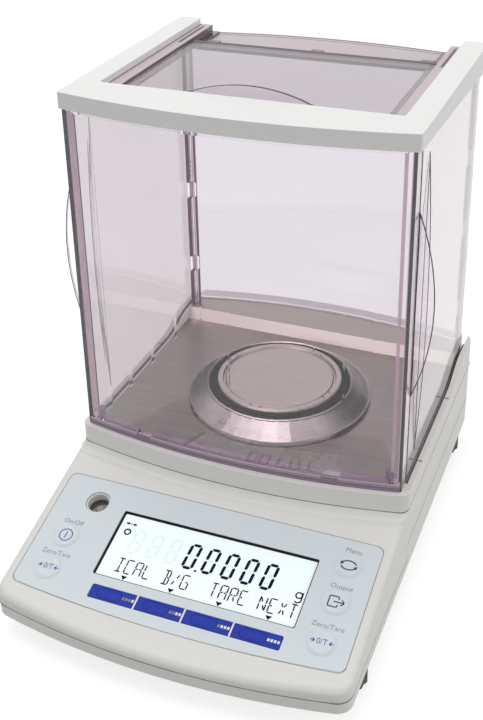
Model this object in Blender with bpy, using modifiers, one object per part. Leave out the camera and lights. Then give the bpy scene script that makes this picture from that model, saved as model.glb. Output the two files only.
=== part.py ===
# Bench analytical balance with a glazed draught shield, built from separate pieces.
# Metres, +Z up. The front with the key panel faces -Y and the feet stand on z = 0.
import math

import bmesh
import bpy
from mathutils import Matrix

for old in list(bpy.data.objects):
    bpy.data.objects.remove(old, do_unlink=True)

# Fits
gap = 0.0003
slide_gap = 0.0005
overcut = 0.004
merge_distance = 0.00001

# Overall levels, measured from the table
foot_height = 0.015
housing_height = 0.057
deck = foot_height + housing_height

# Housing in plan, measured from the pan's axis
body_half_width = 0.104
body_front = 0.184
body_front_bow = 0.0115
body_rear = 0.0995
body_rear_bow = 0.0125
body_radius = 0.009
pan_back = (body_front + body_front_bow - body_rear - body_rear_bow) / 2
wall = 0.0025
floor_thickness = 0.003
tray_front_height = 0.007
tray_rear_height = 0.019
tray_step_front = 0.069
shoulder_radius = 0.0032

# Collar that carries the draught shield
collar_height = 0.0118
collar_front = 0.0752
collar_front_bow = 0.0118
collar_radius = 0.006
collar_deck_thickness = 0.0030
rear_rise = 0.0075
rise_start = 0.038
rise_end = 0.071
floor_recess = 0.0013
shaft_hole_radius = 0.016

# Key panel
slope_top_drop = 0.0125
nose_height = 0.01202
slope_length = body_front + body_front_bow - collar_front
panel_slope = math.atan((housing_height - slope_top_drop - nose_height) / slope_length)
panel_centre_inset = 0.0455
panel_centre_front = body_front - panel_centre_inset
panel_centre_drop = slope_top_drop + (panel_centre_front - collar_front) * math.tan(panel_slope)
neck_rear = 0.045
scoop_reach = 0.006
scoop_radius = 0.007
corner_sink = 0.0015
membrane_margin = 0.0058
membrane_half_width = body_half_width - membrane_margin
membrane_top = 0.0404
membrane_bottom = 0.0378
membrane_bow = 0.0050
membrane_radius = 0.0045
membrane_thickness = 0.0006
window_left_margin = 0.0269
window_right_margin = 0.0165
window_centre_v = 0.0012
window_half_height = 0.0217
window_radius = 0.0010
window_thickness = 0.0012
key_travel = 0.0004
key_top = 0.0002
round_key_radius = 0.0068
on_off_below = 0.0022
left_zero_below = 0.0242
menu_above = 0.0241
output_above = 0.0005
right_zero_below = 0.0240
bar_inset = 0.0032
bar_bottom = 0.0351
bar_top = 0.0270
bar_key_gap = 0.0009
level_inset = 0.0250
level_x = membrane_half_width - level_inset
level_v = 0.0242
level_radius = 0.0072
level_depth = 0.010
well_wall = 0.0008
vial_drop = 0.0060
left_key_inset = 0.0170
right_key_inset = 0.0162
left_key_x = membrane_half_width - left_key_inset
right_key_x = membrane_half_width - right_key_inset

# Draught shield
glass_inset = 0.0045
glass_half_width = body_half_width - glass_inset
glass_front = 0.0730
glass_front_bow = 0.0105
glass_thickness = 0.0025
glass_top = 0.2062
corner_return = 0.0088
rail_height = 0.0050
rail_depth = 0.0055
rail_notch_left = 0.0640
rail_notch_right = 0.0540
rail_notch_base = 0.0020
top_flange_depth = 0.018
post_radius = 0.0024
post_height = 0.011
post_inset = 0.0080
post_x = glass_half_width - post_inset
post_front = 0.0690
rear_inset = 0.0033
rear_half_width = glass_half_width - rear_inset
rear_corner = 0.0905
rear_bow = 0.0115
rear_return = 0.0135
rear_flange_front = 0.055
rear_flange_thickness = 0.0022
notch_height = 0.012
notch_depth = 0.004
low_notch = 0.040
middle_notch = 0.097
high_notch = 0.146
door_rear = 0.0800
door_drop = 0.0022
door_head = 0.0017
door_top = glass_top - door_head
door_front_gap = 0.0005
fin_half_length = 0.0555
fin_middle = 0.1145
fin_depth = 0.0105
fin_thickness = 0.0020
rib_back = 0.0460
rib_bottom = 0.012
rib_top = 0.197
rib_depth = 0.0032
rib_thickness = 0.0014

# Top frame and top door
frame_overhang = 0.0020
frame_half_width = glass_half_width + frame_overhang
frame_front = 0.0740
frame_front_bow = 0.0107
frame_rear = 0.0900
frame_bottom = glass_top + gap
frame_height = 0.0095
frame_top = frame_bottom + frame_height
frame_bar = 0.0145
frame_front_inner = 0.0510
frame_radius = 0.007
frame_bevel = 0.0018
lip_thickness = 0.0016
lip_rear_drop = 0.0072
guide_width = 0.0020
guide_drop = 0.0030
ledge_reach = 0.0127
ledge_block_reach = 0.0078
ledge_inner = frame_half_width - frame_bar - ledge_reach
ledge_block = frame_half_width - frame_bar - ledge_block_reach
ledge_bottom = frame_bottom
ledge_plate = 0.0015
ledge_height = 0.0055
ledge_step = ledge_bottom + ledge_plate
ledge_top = ledge_bottom + ledge_height
ledge_slot_front = 0.046
ledge_slot_rear = 0.085
ledge_slot_width = 0.0016
top_door_bottom = ledge_step + gap
top_door_thickness = 0.0022
top_door_front = 0.0455
top_door_rear = 0.0585
top_fin_half_length = 0.0425
top_fin_height = 0.0105
clip_width = 0.0080
clip_length = 0.0050
clip_height = 0.0015
clip_inset = 0.0267
clip_spacing = rear_half_width - clip_inset
clip_back = 0.0690

# Chamber floor, draught ring and pan
floor_margin = 0.0040
floor_half_width = glass_half_width - floor_margin
floor_front = 0.0640
floor_front_bow = 0.0100
floor_rear = 0.0870
floor_rear_bow = 0.0115
floor_radius = 0.004
plate_thickness = 0.0008
riser_foot = 0.0695
riser_head = 0.0735
ring_base_radius = 0.0585
ring_lip_height = 0.0022
ring_rim_radius = 0.0473
ring_bore_radius = 0.0452
ring_height = 0.0109
ring_wall = 0.0012
pan_radius = 0.0400
pan_top = 0.0131
pan_skirt = 0.0050
pan_sheet = 0.0012
pan_disc_radius = 0.0342
pan_groove = 0.0007
pan_groove_width = 0.0016
pan_hub_radius = 0.0080
socket_radius = 0.0032
stem_radius = 0.0028
stem_foot_radius = 0.0110
stem_foot_thickness = 0.0030

# Weighing cell and electronics
cell_width = 0.046
cell_length = 0.082
cell_slot = 0.0060
cell_slot_half_share = 0.36
cell_slot_height_shares = (0.30, 0.70)
chassis_width = 0.110
chassis_length = 0.128
chassis_thickness = 0.004
chassis_leg = 0.004
chassis_leg_radius = 0.006
board_thickness = 0.0016
board_width = 0.150
board_depth = 0.030
board_leg = 0.005
board_back = 0.082
display_board_margin = 0.0062
display_board_half_width = membrane_half_width - display_board_margin
display_board_top = 0.0330
display_board_bottom = 0.0345
display_board_drop = 0.0088
display_margin = 0.0025
display_post = 0.0030

# Feet, screws and connectors
foot_inset = 0.0120
foot_half_spacing = body_half_width - foot_inset
foot_front = 0.150
foot_rear = 0.072
pad_radius = 0.0085
pad_height = 0.0045
wheel_radius = 0.0120
wheel_height = foot_height - pad_height - 2 * gap
wheel_flutes = 12
flute_radius = 0.0009
stud_radius = 0.0030
stud_reach = 0.0090
pivot_radius = 0.0040
pivot_depth = 0.0015
screw_head_radius = 0.0032
screw_head_height = 0.0018
screw_radius = 0.0015
screw_length = 0.0080
screw_beside = 0.0150
screw_half_spacing = chassis_width / 2 + screw_beside
screw_front = 0.120
screw_rear = 0.060
socket_width = 0.0110
socket_height = 0.0110
socket_length = 0.0130
serial_width = 0.0310
serial_height = 0.0125
serial_depth = 0.0110
socket_bore_radius = 0.0030
socket_pin_radius = 0.0009
socket_bore_share = 0.7
socket_pin_share = 0.8
serial_mouth_width_share = 0.29
serial_mouth_height_share = 0.34
serial_mouth_radius_share = 0.16
serial_mouth_depth_share = 0.55
inlet_inset = 0.034
inlet_x = body_half_width - inlet_inset
serial_x = 0.030
inlet_drop = 0.026

edge_share = 0.48
corner_steps = 5
bow_steps = 12
round_steps = 40
small_steps = 20
screw_steps = 12

parts = bpy.data.collections.new("laboratory_balance")
tools = bpy.data.collections.new("cutters")
bpy.context.scene.collection.children.link(parts)
bpy.context.scene.collection.children.link(tools)

root = bpy.data.objects.new("balance_axis", None)
root.location = (0, pan_back, 0)
parts.objects.link(root)

panel = bpy.data.objects.new("panel_frame", None)
panel.location = (0, -panel_centre_front, deck - panel_centre_drop)
panel.rotation_euler = (panel_slope, 0, 0)
panel.parent = root
parts.objects.link(panel)


# Materials

def material(name, colour, roughness, metallic=0.0):
    made = bpy.data.materials.new(name)
    made.use_nodes = True
    shader = made.node_tree.nodes["Principled BSDF"]
    shader.inputs["Base Color"].default_value = (*colour, 1)
    shader.inputs["Roughness"].default_value = roughness
    shader.inputs["Metallic"].default_value = metallic
    made.diffuse_color = (*colour, 1)
    return made


off_white = material("off_white_plastic", (0.78, 0.78, 0.74), 0.45)
tinted = material("tinted_clear_plastic", (0.62, 0.50, 0.62), 0.08)
steel = material("brushed_stainless", (0.55, 0.53, 0.52), 0.32, 1.0)
film = material("panel_film", (0.72, 0.80, 0.84), 0.35)
key_film = material("key_film", (0.76, 0.83, 0.87), 0.35)
blue_film = material("blue_key_film", (0.07, 0.12, 0.42), 0.35)
lens = material("display_lens", (0.85, 0.87, 0.87), 0.12)
dark_plastic = material("dark_plastic", (0.03, 0.03, 0.03), 0.5)
rubber = material("black_rubber", (0.02, 0.02, 0.02), 0.75)
aluminium = material("cell_aluminium", (0.70, 0.71, 0.72), 0.35, 1.0)
board_green = material("circuit_board", (0.03, 0.20, 0.09), 0.5)
vial = material("level_vial_plastic", (0.75, 0.78, 0.60), 0.15)
screw_steel = material("screw_steel", (0.62, 0.62, 0.62), 0.3, 1.0)


# Shape helpers

def clean(mesh, smooth_angle=math.radians(35)):
    work = bmesh.new()
    work.from_mesh(mesh)
    bmesh.ops.remove_doubles(work, verts=work.verts, dist=merge_distance)
    bmesh.ops.recalc_face_normals(work, faces=work.faces)
    work.to_mesh(mesh)
    work.free()
    mesh.shade_smooth()
    mesh.set_sharp_from_angle(angle=smooth_angle)
    return mesh


def from_curve(curve):
    carrier = bpy.data.objects.new("carrier", curve)
    bpy.context.scene.collection.objects.link(carrier)
    graph = bpy.context.evaluated_depsgraph_get()
    mesh = bpy.data.meshes.new_from_object(carrier.evaluated_get(graph))
    bpy.data.objects.remove(carrier, do_unlink=True)
    bpy.data.curves.remove(curve)
    return mesh


def slab(points, low, high, along="Z"):
    """A flat outline made thick. Along Z it is a plan, along Y a front view, along X a side view (Y, Z)."""
    curve = bpy.data.curves.new("outline", "CURVE")
    curve.dimensions = "2D"
    curve.fill_mode = "BOTH"
    curve.extrude = (high - low) / 2
    line = curve.splines.new("POLY")
    line.points.add(len(points) - 1)
    for point, (u, v) in zip(line.points, points):
        point.co = (u, v, 0, 1)
    line.use_cyclic_u = True
    mesh = from_curve(curve)
    mesh.transform(Matrix.Translation((0, 0, (low + high) / 2)))
    if along == "Y":
        mesh.transform(Matrix.Rotation(math.radians(90), 4, "X") @ Matrix.Diagonal((1, 1, -1, 1)))
    if along == "X":
        mesh.transform(Matrix(((0, 0, 1, 0), (1, 0, 0, 0), (0, 1, 0, 0), (0, 0, 0, 1))))
    return clean(mesh)


def box(x0, x1, y0, y1, z0, z1):
    work = bmesh.new()
    bmesh.ops.create_cube(work, size=1)
    size = Matrix.Diagonal((x1 - x0, y1 - y0, z1 - z0, 1))
    centre = Matrix.Translation(((x0 + x1) / 2, (y0 + y1) / 2, (z0 + z1) / 2))
    bmesh.ops.transform(work, matrix=centre @ size, verts=work.verts)
    mesh = bpy.data.meshes.new("box")
    work.to_mesh(mesh)
    work.free()
    return mesh


def rod(radius, low, high, steps=small_steps, top_radius=None):
    work = bmesh.new()
    top = radius if top_radius is None else top_radius
    bmesh.ops.create_cone(work, cap_ends=True, segments=steps, radius1=radius, radius2=top, depth=high - low)
    bmesh.ops.translate(work, vec=(0, 0, (low + high) / 2), verts=work.verts)
    mesh = bpy.data.meshes.new("rod")
    work.to_mesh(mesh)
    work.free()
    return clean(mesh)


def turned(profile, steps=round_steps):
    """A (radius, height) outline turned about Z. It starts and ends on the axis, or it is closed."""
    mesh = bpy.data.meshes.new("profile")
    edges = [(i, i + 1) for i in range(len(profile) - 1)]
    if profile[0][0] or profile[-1][0]:
        edges.append((len(profile) - 1, 0))
    mesh.from_pydata([(r, 0, z) for r, z in profile], edges, [])
    carrier = bpy.data.objects.new("carrier", mesh)
    bpy.context.scene.collection.objects.link(carrier)
    screw = carrier.modifiers.new("Screw", "SCREW")
    screw.steps = steps
    screw.render_steps = steps
    screw.use_merge_vertices = True
    screw.merge_threshold = merge_distance
    graph = bpy.context.evaluated_depsgraph_get()
    made = bpy.data.meshes.new_from_object(carrier.evaluated_get(graph))
    bpy.data.objects.remove(carrier, do_unlink=True)
    bpy.data.meshes.remove(mesh)
    return clean(made)


def moved(mesh, x=0.0, y=0.0, z=0.0):
    mesh.transform(Matrix.Translation((x, y, z)))
    return mesh


def bow(x0, x1, ends, rise, steps=bow_steps):
    """Points from x0 to x1 on a shallow parabola: height ends at both ends and ends + rise midway."""
    shares = [i / steps for i in range(steps + 1)]
    return [(x0 + (x1 - x0) * share, ends + rise * (1 - (2 * share - 1) ** 2)) for share in shares]


def rounded(points, radius, steps=corner_steps, sharper=math.radians(40)):
    """The outline with each corner that turns by more than the given angle replaced by an arc."""
    out = []
    count = len(points)
    for i, (x, y) in enumerate(points):
        ax, ay = points[i - 1]
        bx, by = points[(i + 1) % count]
        a_len = math.hypot(ax - x, ay - y)
        b_len = math.hypot(bx - x, by - y)
        ux, uy = (ax - x) / a_len, (ay - y) / a_len
        vx, vy = (bx - x) / b_len, (by - y) / b_len
        inside = math.acos(max(-1.0, min(1.0, ux * vx + uy * vy)))
        if math.pi - inside < sharper:
            out.append((x, y))
            continue
        reach = min(radius / math.tan(inside / 2), a_len * edge_share, b_len * edge_share)
        r = reach * math.tan(inside / 2)
        middle = r / math.sin(inside / 2)
        wx, wy = ux + vx, uy + vy
        w_len = math.hypot(wx, wy)
        cx, cy = x + wx / w_len * middle, y + wy / w_len * middle
        start = math.atan2(y + uy * reach - cy, x + ux * reach - cx)
        end = math.atan2(y + vy * reach - cy, x + vx * reach - cx)
        turn = (end - start + math.pi) % (2 * math.pi) - math.pi
        out += [(cx + r * math.cos(start + turn * k / steps), cy + r * math.sin(start + turn * k / steps))
                for k in range(steps + 1)]
    return out


def plan(half_width, front, front_bow, rear, rear_bow, radius, rear_radius=None):
    """A plan with a bowed front and rear edge and straight sides."""
    front_edge = [(x, -y) for x, y in bow(-half_width, half_width, front, front_bow)]
    rear_edge = bow(half_width, -half_width, rear, rear_bow)
    corners = front_edge + rear_edge
    in_front = [point for point in rounded(corners, radius) if point[1] < 0]
    return in_front + [point for point in rounded(corners, rear_radius or radius) if point[1] >= 0]


def loft(rings):
    """A closed body through rings of as many points each, with a cap on the first and the last."""
    work = bmesh.new()
    rows = [[work.verts.new(point) for point in ring] for ring in rings]
    for low, high in zip(rows, rows[1:]):
        for i in range(len(low)):
            work.faces.new((low[i - 1], low[i], high[i], high[i - 1]))
    work.faces.new(rows[0])
    work.faces.new(rows[-1])
    mesh = bpy.data.meshes.new("loft")
    work.to_mesh(mesh)
    work.free()
    return clean(mesh)


def oblong(x0, x1, y0, y1, radius, steps=corner_steps):
    return rounded([(x0, y0), (x1, y0), (x1, y1), (x0, y1)], radius, steps)


def node(name, mesh, look, parent=root, location=(0, 0, 0)):
    mesh.name = name
    mesh.materials.clear()
    mesh.materials.append(look)
    made = bpy.data.objects.new(name, mesh)
    made.parent = parent
    made.location = location
    parts.objects.link(made)
    return made


helper_count = 0


def helper(mesh, parent=root, location=(0, 0, 0)):
    """A hidden shape that cuts or joins others. It can be cut itself."""
    global helper_count
    helper_count += 1
    made = bpy.data.objects.new(f"helper_{helper_count:03d}", mesh)
    made.parent = parent
    made.location = location
    made.hide_render = True
    made.display_type = "WIRE"
    tools.objects.link(made)
    return made


def combine(target, tool, operation):
    step = target.modifiers.new(tool.name, "BOOLEAN")
    step.operation = operation
    step.solver = "EXACT"
    step.object = tool


def cut(target, mesh, parent=None, location=None):
    tool = helper(mesh, parent or target.parent, target.location if location is None else location)
    combine(target, tool, "DIFFERENCE")


def add(target, mesh, parent=None, location=None):
    tool = helper(mesh, parent or target.parent, target.location if location is None else location)
    combine(target, tool, "UNION")


def settle(target):
    """Makes the object's modifiers part of its mesh."""
    graph = bpy.context.evaluated_depsgraph_get()
    mesh = bpy.data.meshes.new_from_object(target.evaluated_get(graph))
    target.modifiers.clear()
    target.data = clean(mesh)


def round_edges(target, chosen, radius, segments=3, sharper=math.radians(40)):
    """Rounds the convex edges whose middle the chosen function accepts, in the object's own space."""
    work = bmesh.new()
    work.from_mesh(target.data)
    work.normal_update()
    picked = []
    for edge in work.edges:
        if not edge.is_manifold or not edge.is_convex or edge.calc_face_angle() < sharper:
            continue
        if chosen((edge.verts[0].co + edge.verts[1].co) / 2):
            picked.append(edge)
    bmesh.ops.bevel(work, geom=picked, offset=radius, segments=segments, profile=0.5, affect="EDGES",
                    clamp_overlap=True)
    work.to_mesh(target.data)
    work.free()
    clean(target.data)


# Base tray: full width at the rear, inside the housing's side walls in front of its step
base = foot_height
tray_top = base + tray_rear_height
tray_front_top = base + tray_front_height
far = body_front + body_front_bow + overcut
behind = body_rear + body_rear_bow + overcut
wide = body_half_width + overcut
body_plan = plan(body_half_width, body_front, body_front_bow, body_rear, body_rear_bow, body_radius)
tray = node("base_tray", slab(body_plan, base, tray_top), off_white)
cut(tray, box(-wide, wide, -far, -tray_step_front, tray_front_top, tray_top + overcut))
for side in (-1, 1):
    near_x, far_x = sorted((side * (body_half_width - wall - gap), side * wide))
    cut(tray, box(near_x, far_x, body_radius - body_front, -tray_step_front, base - overcut,
                  tray_top + overcut))
tray_inner = plan(body_half_width - 2 * wall, body_front - wall, body_front_bow, body_rear - wall,
                  body_rear_bow, body_radius - wall)
cut(tray, slab(tray_inner, base + floor_thickness, tray_top + overcut))


def slope_height(distance, drop=0.0):
    """Height of the key panel's plane at a distance in front of the pan's axis."""
    return deck - panel_centre_drop - (distance - panel_centre_front) * math.tan(panel_slope) - drop


def above_slope(neck, drop):
    """All that lies above the sloping top, lowered by a drop, in front of a straight neck."""
    points = [(-neck, deck + overcut), (-neck, slope_height(neck, drop)),
              (-far - overcut, slope_height(far + overcut, drop)), (-far - overcut, deck + overcut)]
    return slab(points, -wide, wide, "X")


# Main housing: a shell with a sloping top and rounded shoulders
shell_top = deck - collar_height - gap
rings = [[(x, y, base) for x, y in body_plan]]
for k in range(corner_steps + 1):
    turn = math.pi / 2 * k / corner_steps
    inset = shoulder_radius * (1 - math.cos(turn))
    drop = shoulder_radius * (1 - math.sin(turn))
    inset_plan = plan(body_half_width - inset, body_front - inset, body_front_bow, body_rear, body_rear_bow,
                      body_radius - inset)
    rings.append([(x, y, slope_height(-y, drop)) for x, y in inset_plan])
housing = node("main_housing", loft(rings), off_white)
cut(housing, box(-wide, wide, -far, behind, shell_top, deck + body_half_width * 2))

# The neck under the collar: a block with the collar's outline, scooped out to a fillet along the bow
neck_plan = rounded([(x, -y) for x, y in bow(-body_half_width, body_half_width, collar_front + scoop_reach,
                                             collar_front_bow)]
                    + [(body_half_width, -neck_rear), (-body_half_width, -neck_rear)], collar_radius)
add(housing, slab(neck_plan, base + tray_rear_height, shell_top))
neck_line = sorted((x, y + scoop_reach) for x, y in neck_plan if y < -neck_rear - collar_radius - gap)
neck_line = [(-wide, neck_line[0][1])] + neck_line + [(wide, neck_line[-1][1])]
rings = []
for x, y in neck_line:
    sunk = corner_sink * min(1, abs(x) / body_half_width) ** 2
    middle = slope_height(-y + scoop_reach) - sunk + scoop_radius
    reach = math.sqrt(scoop_radius ** 2 - (middle - shell_top) ** 2)
    ring = []
    for k in range(small_steps):
        turn = 2 * math.pi * k / small_steps
        ring.append((x, y - reach + scoop_radius * math.cos(turn), middle + scoop_radius * math.sin(turn)))
    rings.append(ring)
cut(housing, loft(rings))
hollow_plan = plan(body_half_width - wall, body_front - wall, body_front_bow, body_rear - wall, body_rear_bow,
                   body_radius - wall)
hollow = helper(slab(hollow_plan, base - overcut, shell_top - wall))
cut(hollow, above_slope(collar_front - collar_radius - wall, wall))
combine(housing, hollow, "DIFFERENCE")
cut(housing, box(-wide, wide, -tray_step_front - gap, behind, base - overcut, tray_top + gap))
cut(housing, box(-wide, wide, -far, -body_front + body_radius + gap, base - overcut, tray_front_top + gap))
cut(housing, box(-floor_half_width + wall, floor_half_width - wall, -collar_front + collar_radius + 2 * wall,
                 body_rear - 4 * wall, shell_top - 2 * wall, shell_top + overcut))

# Key panel film in its recess, with openings for the display, the keys and the level
recess = membrane_thickness + gap


def film_outline(extra):
    half = membrane_half_width + extra
    low_edge = [(x, -v) for x, v in bow(-half, half, membrane_bottom + extra, membrane_bow)]
    return rounded(low_edge + [(half, membrane_top + extra), (-half, membrane_top + extra)], membrane_radius)


key_panel = node("key_panel", slab(film_outline(0), -membrane_thickness, 0), film, panel)
cut(housing, slab(film_outline(gap), -recess, overcut), panel)

window_left = window_left_margin - left_key_x
window_right = right_key_x - window_right_margin
window_low = window_centre_v - window_half_height
window_high = window_centre_v + window_half_height


def opening(x0, x1, y0, y1, radius):
    return slab(oblong(x0 - gap, x1 + gap, y0 - gap, y1 + gap, radius), -2 * wall, overcut)


round_keys = {
    "key_on_off": (-left_key_x, -on_off_below),
    "key_zero_tare_left": (-left_key_x, -left_zero_below),
    "key_menu": (right_key_x, menu_above),
    "key_output": (right_key_x, output_above),
    "key_zero_tare_right": (right_key_x, -right_zero_below),
}
bar_left = window_left + bar_inset
bar_right = window_right - bar_inset
bar_pitch = (bar_right - bar_left) / 4
bar_keys = []
for index in range(4):
    start = bar_left + bar_pitch * index + bar_key_gap / 2
    bar_keys.append((f"key_function_{index + 1}", start, start + bar_pitch - bar_key_gap))

for target in (key_panel, housing):
    cut(target, opening(window_left, window_right, window_low, window_high, window_radius), panel)
    cut(target, moved(rod(level_radius + gap, -2 * wall, overcut), -level_x, level_v), panel)
    for x, v in round_keys.values():
        cut(target, moved(rod(round_key_radius + gap, -2 * wall, overcut), x, v), panel)
    cut(target, opening(bar_left + bar_key_gap / 2, bar_right - bar_key_gap / 2, -bar_bottom, -bar_top,
                        window_radius), panel)

node("display_window", slab(oblong(window_left, window_right, window_low, window_high, window_radius),
                            -window_thickness, 0), lens, panel)

# Keys: each has a cap in its opening and travels along the panel's normal
key_low = key_travel + gap - display_board_drop
for name, (x, v) in round_keys.items():
    node(name, rod(round_key_radius, key_low, key_top), key_film, panel, (x, v, 0))
bar_middle = -(bar_bottom + bar_top) / 2
bar_half = (bar_bottom - bar_top) / 2
for name, x0, x1 in bar_keys:
    half = (x1 - x0) / 2
    cap = slab(oblong(-half, half, -bar_half, bar_half, window_radius, 2), key_low, key_top)
    node(name, cap, blue_film, panel, ((x0 + x1) / 2, bar_middle, 0))

# Level: a well below the film's hole, with the round vial at its bottom
well_inner = level_radius - well_wall
well_floor = well_wall - level_depth
vial_radius = well_inner - gap
well_profile = [(0, well_floor), (well_inner, well_floor), (well_inner, -recess), (level_radius, -recess),
                (level_radius, -level_depth), (0, -level_depth)]
vial_profile = [(0, -vial_drop), (vial_radius, -vial_drop), (vial_radius, well_floor + gap),
                (0, well_floor + gap)]
node("level_well", turned(well_profile, small_steps), off_white, panel, (-level_x, level_v, 0))
node("level_vial", turned(vial_profile, small_steps), vial, panel, (-level_x, level_v, 0))

# Collar under the draught shield: a sunk deck, a door channel on each side and a raised rear
collar_low = deck - collar_height
raised = deck + rear_rise
channel_inner = rear_half_width + gap
channel_outer = glass_half_width + 4 * gap
collar_plan = plan(body_half_width, collar_front, collar_front_bow, body_rear, body_rear_bow, collar_radius,
                   body_radius)
collar = node("upper_housing", slab(collar_plan, collar_low, raised), off_white)
rise_line = [(-far, deck)]
for k in range(bow_steps + 1):
    share = k / bow_steps
    climb = (rear_rise + gap) * share * share * (3 - 2 * share)
    rise_line.append((rise_start + (rise_end - rise_start) * share, deck + climb))
rise_line += [(behind, raised + gap), (behind, raised + overcut), (-far, raised + overcut)]
cut(collar, slab(rise_line, -wide, wide, "X"))
settle(collar)


def on_outer_rim(middle):
    outside = abs(middle.x) > body_half_width - gap
    at_ends = middle.y < -collar_front + gap or middle.y > body_rear - gap
    return middle.z > deck - gap and (outside or at_ends)


round_edges(collar, on_outer_rim, 2 * slide_gap, 2)
channel_floor = deck - door_drop - gap
for side in (-1, 1):
    near_x, far_x = sorted((side * channel_inner, side * channel_outer))
    cut(collar, box(near_x, far_x, corner_return - glass_front, behind, channel_floor, raised + overcut))
low_deck = deck - floor_recess
floor_plan = plan(floor_half_width, floor_front, floor_front_bow, floor_rear, floor_rear_bow, floor_radius)
pocket_plan = plan(floor_half_width + gap, floor_front + gap, floor_front_bow, floor_rear + gap,
                   floor_rear_bow, floor_radius)
pocket = helper(slab(pocket_plan, deck - 2 * floor_recess, raised + overcut))
pocket_floor = [(-far, deck - overcut), (behind, deck - overcut), (behind, raised - floor_recess),
                (riser_head + plate_thickness, raised - floor_recess),
                (riser_foot + plate_thickness, low_deck), (-far, low_deck)]
cut(pocket, slab(pocket_floor, -wide, wide, "X"))
combine(collar, pocket, "DIFFERENCE")
collar_hollow = plan(body_half_width - wall, collar_front - wall, collar_front_bow, body_rear - wall,
                     body_rear_bow, collar_radius - wall, body_radius - wall)
cut(collar, slab(collar_hollow, collar_low - overcut, channel_floor - collar_deck_thickness))
cut(collar, rod(shaft_hole_radius, collar_low - overcut, raised + overcut))

# Stainless chamber floor: one sheet with a riser and a rear shelf
sheet_low = low_deck + gap
sheet_up = sheet_low + plate_thickness
shelf_low = raised - floor_recess + gap
shelf_up = shelf_low + plate_thickness
sheet_side = [(-far, sheet_low), (riser_foot, sheet_low), (riser_head, shelf_low), (behind, shelf_low),
              (behind, shelf_up), (riser_head - plate_thickness / 2, shelf_up),
              (riser_foot - plate_thickness / 2, sheet_up), (-far, sheet_up)]
floor = node("chamber_floor", slab(sheet_side, -floor_half_width, floor_half_width, "X"), steel)
combine(floor, helper(slab(floor_plan, deck - 2 * floor_recess, raised + overcut)), "INTERSECT")
cut(floor, rod(shaft_hole_radius, deck - overcut, raised + overcut))

# Draught ring round the pan: a lip, a cone, a rolled rim and the bore
ring_foot = sheet_up + gap
roll = (ring_rim_radius - ring_bore_radius) / 2
roll_centre = deck + ring_height - roll
ring_lip = ring_foot + ring_lip_height
ring_profile = []
for k in range(corner_steps + 1):
    turn = math.pi * k / corner_steps
    ring_profile.append((ring_rim_radius - roll - roll * math.cos(turn), roll_centre + roll * math.sin(turn)))
ring_profile += [(ring_base_radius - ring_wall, ring_lip), (ring_base_radius, ring_lip),
                 (ring_base_radius, ring_foot), (ring_base_radius - ring_wall, ring_foot),
                 (ring_base_radius - 2 * ring_wall, ring_foot + ring_wall),
                 (ring_bore_radius + ring_wall, roll_centre - 2 * roll),
                 (ring_bore_radius + ring_wall, ring_foot + ring_wall),
                 (ring_bore_radius, ring_foot + ring_wall)]
node("draught_ring", turned(ring_profile), steel)

# Weighing pan: a skirted dish with a raised band, a groove, a centre disc and a socket below
top = deck + pan_top
under = top - pan_sheet - 2 * pan_groove
groove_outer = pan_disc_radius + pan_groove_width
band_inner = groove_outer + pan_groove
skirt_inner = pan_radius - pan_sheet
band_under = top - pan_sheet - pan_groove
pan_profile = [(0, top - pan_groove), (pan_disc_radius, top - pan_groove),
               (pan_disc_radius + pan_groove, top - 2 * pan_groove), (groove_outer, top - 2 * pan_groove),
               (band_inner, top), (skirt_inner, top), (pan_radius - pan_sheet / 4, top - pan_sheet / 4),
               (pan_radius, top - pan_sheet), (pan_radius, top - pan_skirt), (skirt_inner, top - pan_skirt),
               (skirt_inner, band_under), (band_inner, band_under), (groove_outer, under),
               (pan_hub_radius, under), (pan_hub_radius, under - pan_skirt),
               (socket_radius, under - pan_skirt), (socket_radius, under), (0, under)]
node("weighing_pan", turned(pan_profile), steel)

# Stem that carries the pan on the weighing cell
cell_top = deck - collar_height - cell_slot
stem_low = cell_top + gap
stem_foot_top = stem_low + stem_foot_thickness
stem_profile = [(0, under - gap), (stem_radius - gap, under - gap), (stem_radius, under - socket_radius),
                (stem_radius, stem_foot_top), (stem_foot_radius, stem_foot_top), (stem_foot_radius, stem_low),
                (0, stem_low)]
node("pan_stem", turned(stem_profile, small_steps), screw_steel)

# Weighing cell block on its chassis plate
chassis_low = base + floor_thickness + chassis_leg + gap
chassis_top = chassis_low + chassis_thickness
cell_low = chassis_top + gap
cell_half = cell_width / 2
cell_mesh = box(-cell_half, cell_half, -cell_length / 2, cell_length / 2, cell_low, cell_top)
cell = node("weighing_cell", cell_mesh, aluminium)
slot_reach = cell_length * cell_slot_half_share
for share in cell_slot_height_shares:
    slot_low = cell_low + (cell_top - cell_low) * share - cell_slot / 4
    cut(cell, box(-cell_width, cell_width, -slot_reach, slot_reach, slot_low, slot_low + cell_slot / 2))
half_x = chassis_width / 2
half_y = chassis_length / 2
node("cell_chassis", box(-half_x, half_x, -half_y, half_y, chassis_low, chassis_top), aluminium)
leg_x = half_x - 2 * chassis_leg_radius
leg_y = half_y - 2 * chassis_leg_radius
for x in (-leg_x, leg_x):
    for y in (-leg_y, leg_y):
        add(tray, moved(rod(chassis_leg_radius, base + floor_thickness / 2, chassis_low - gap), x, y))

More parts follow.
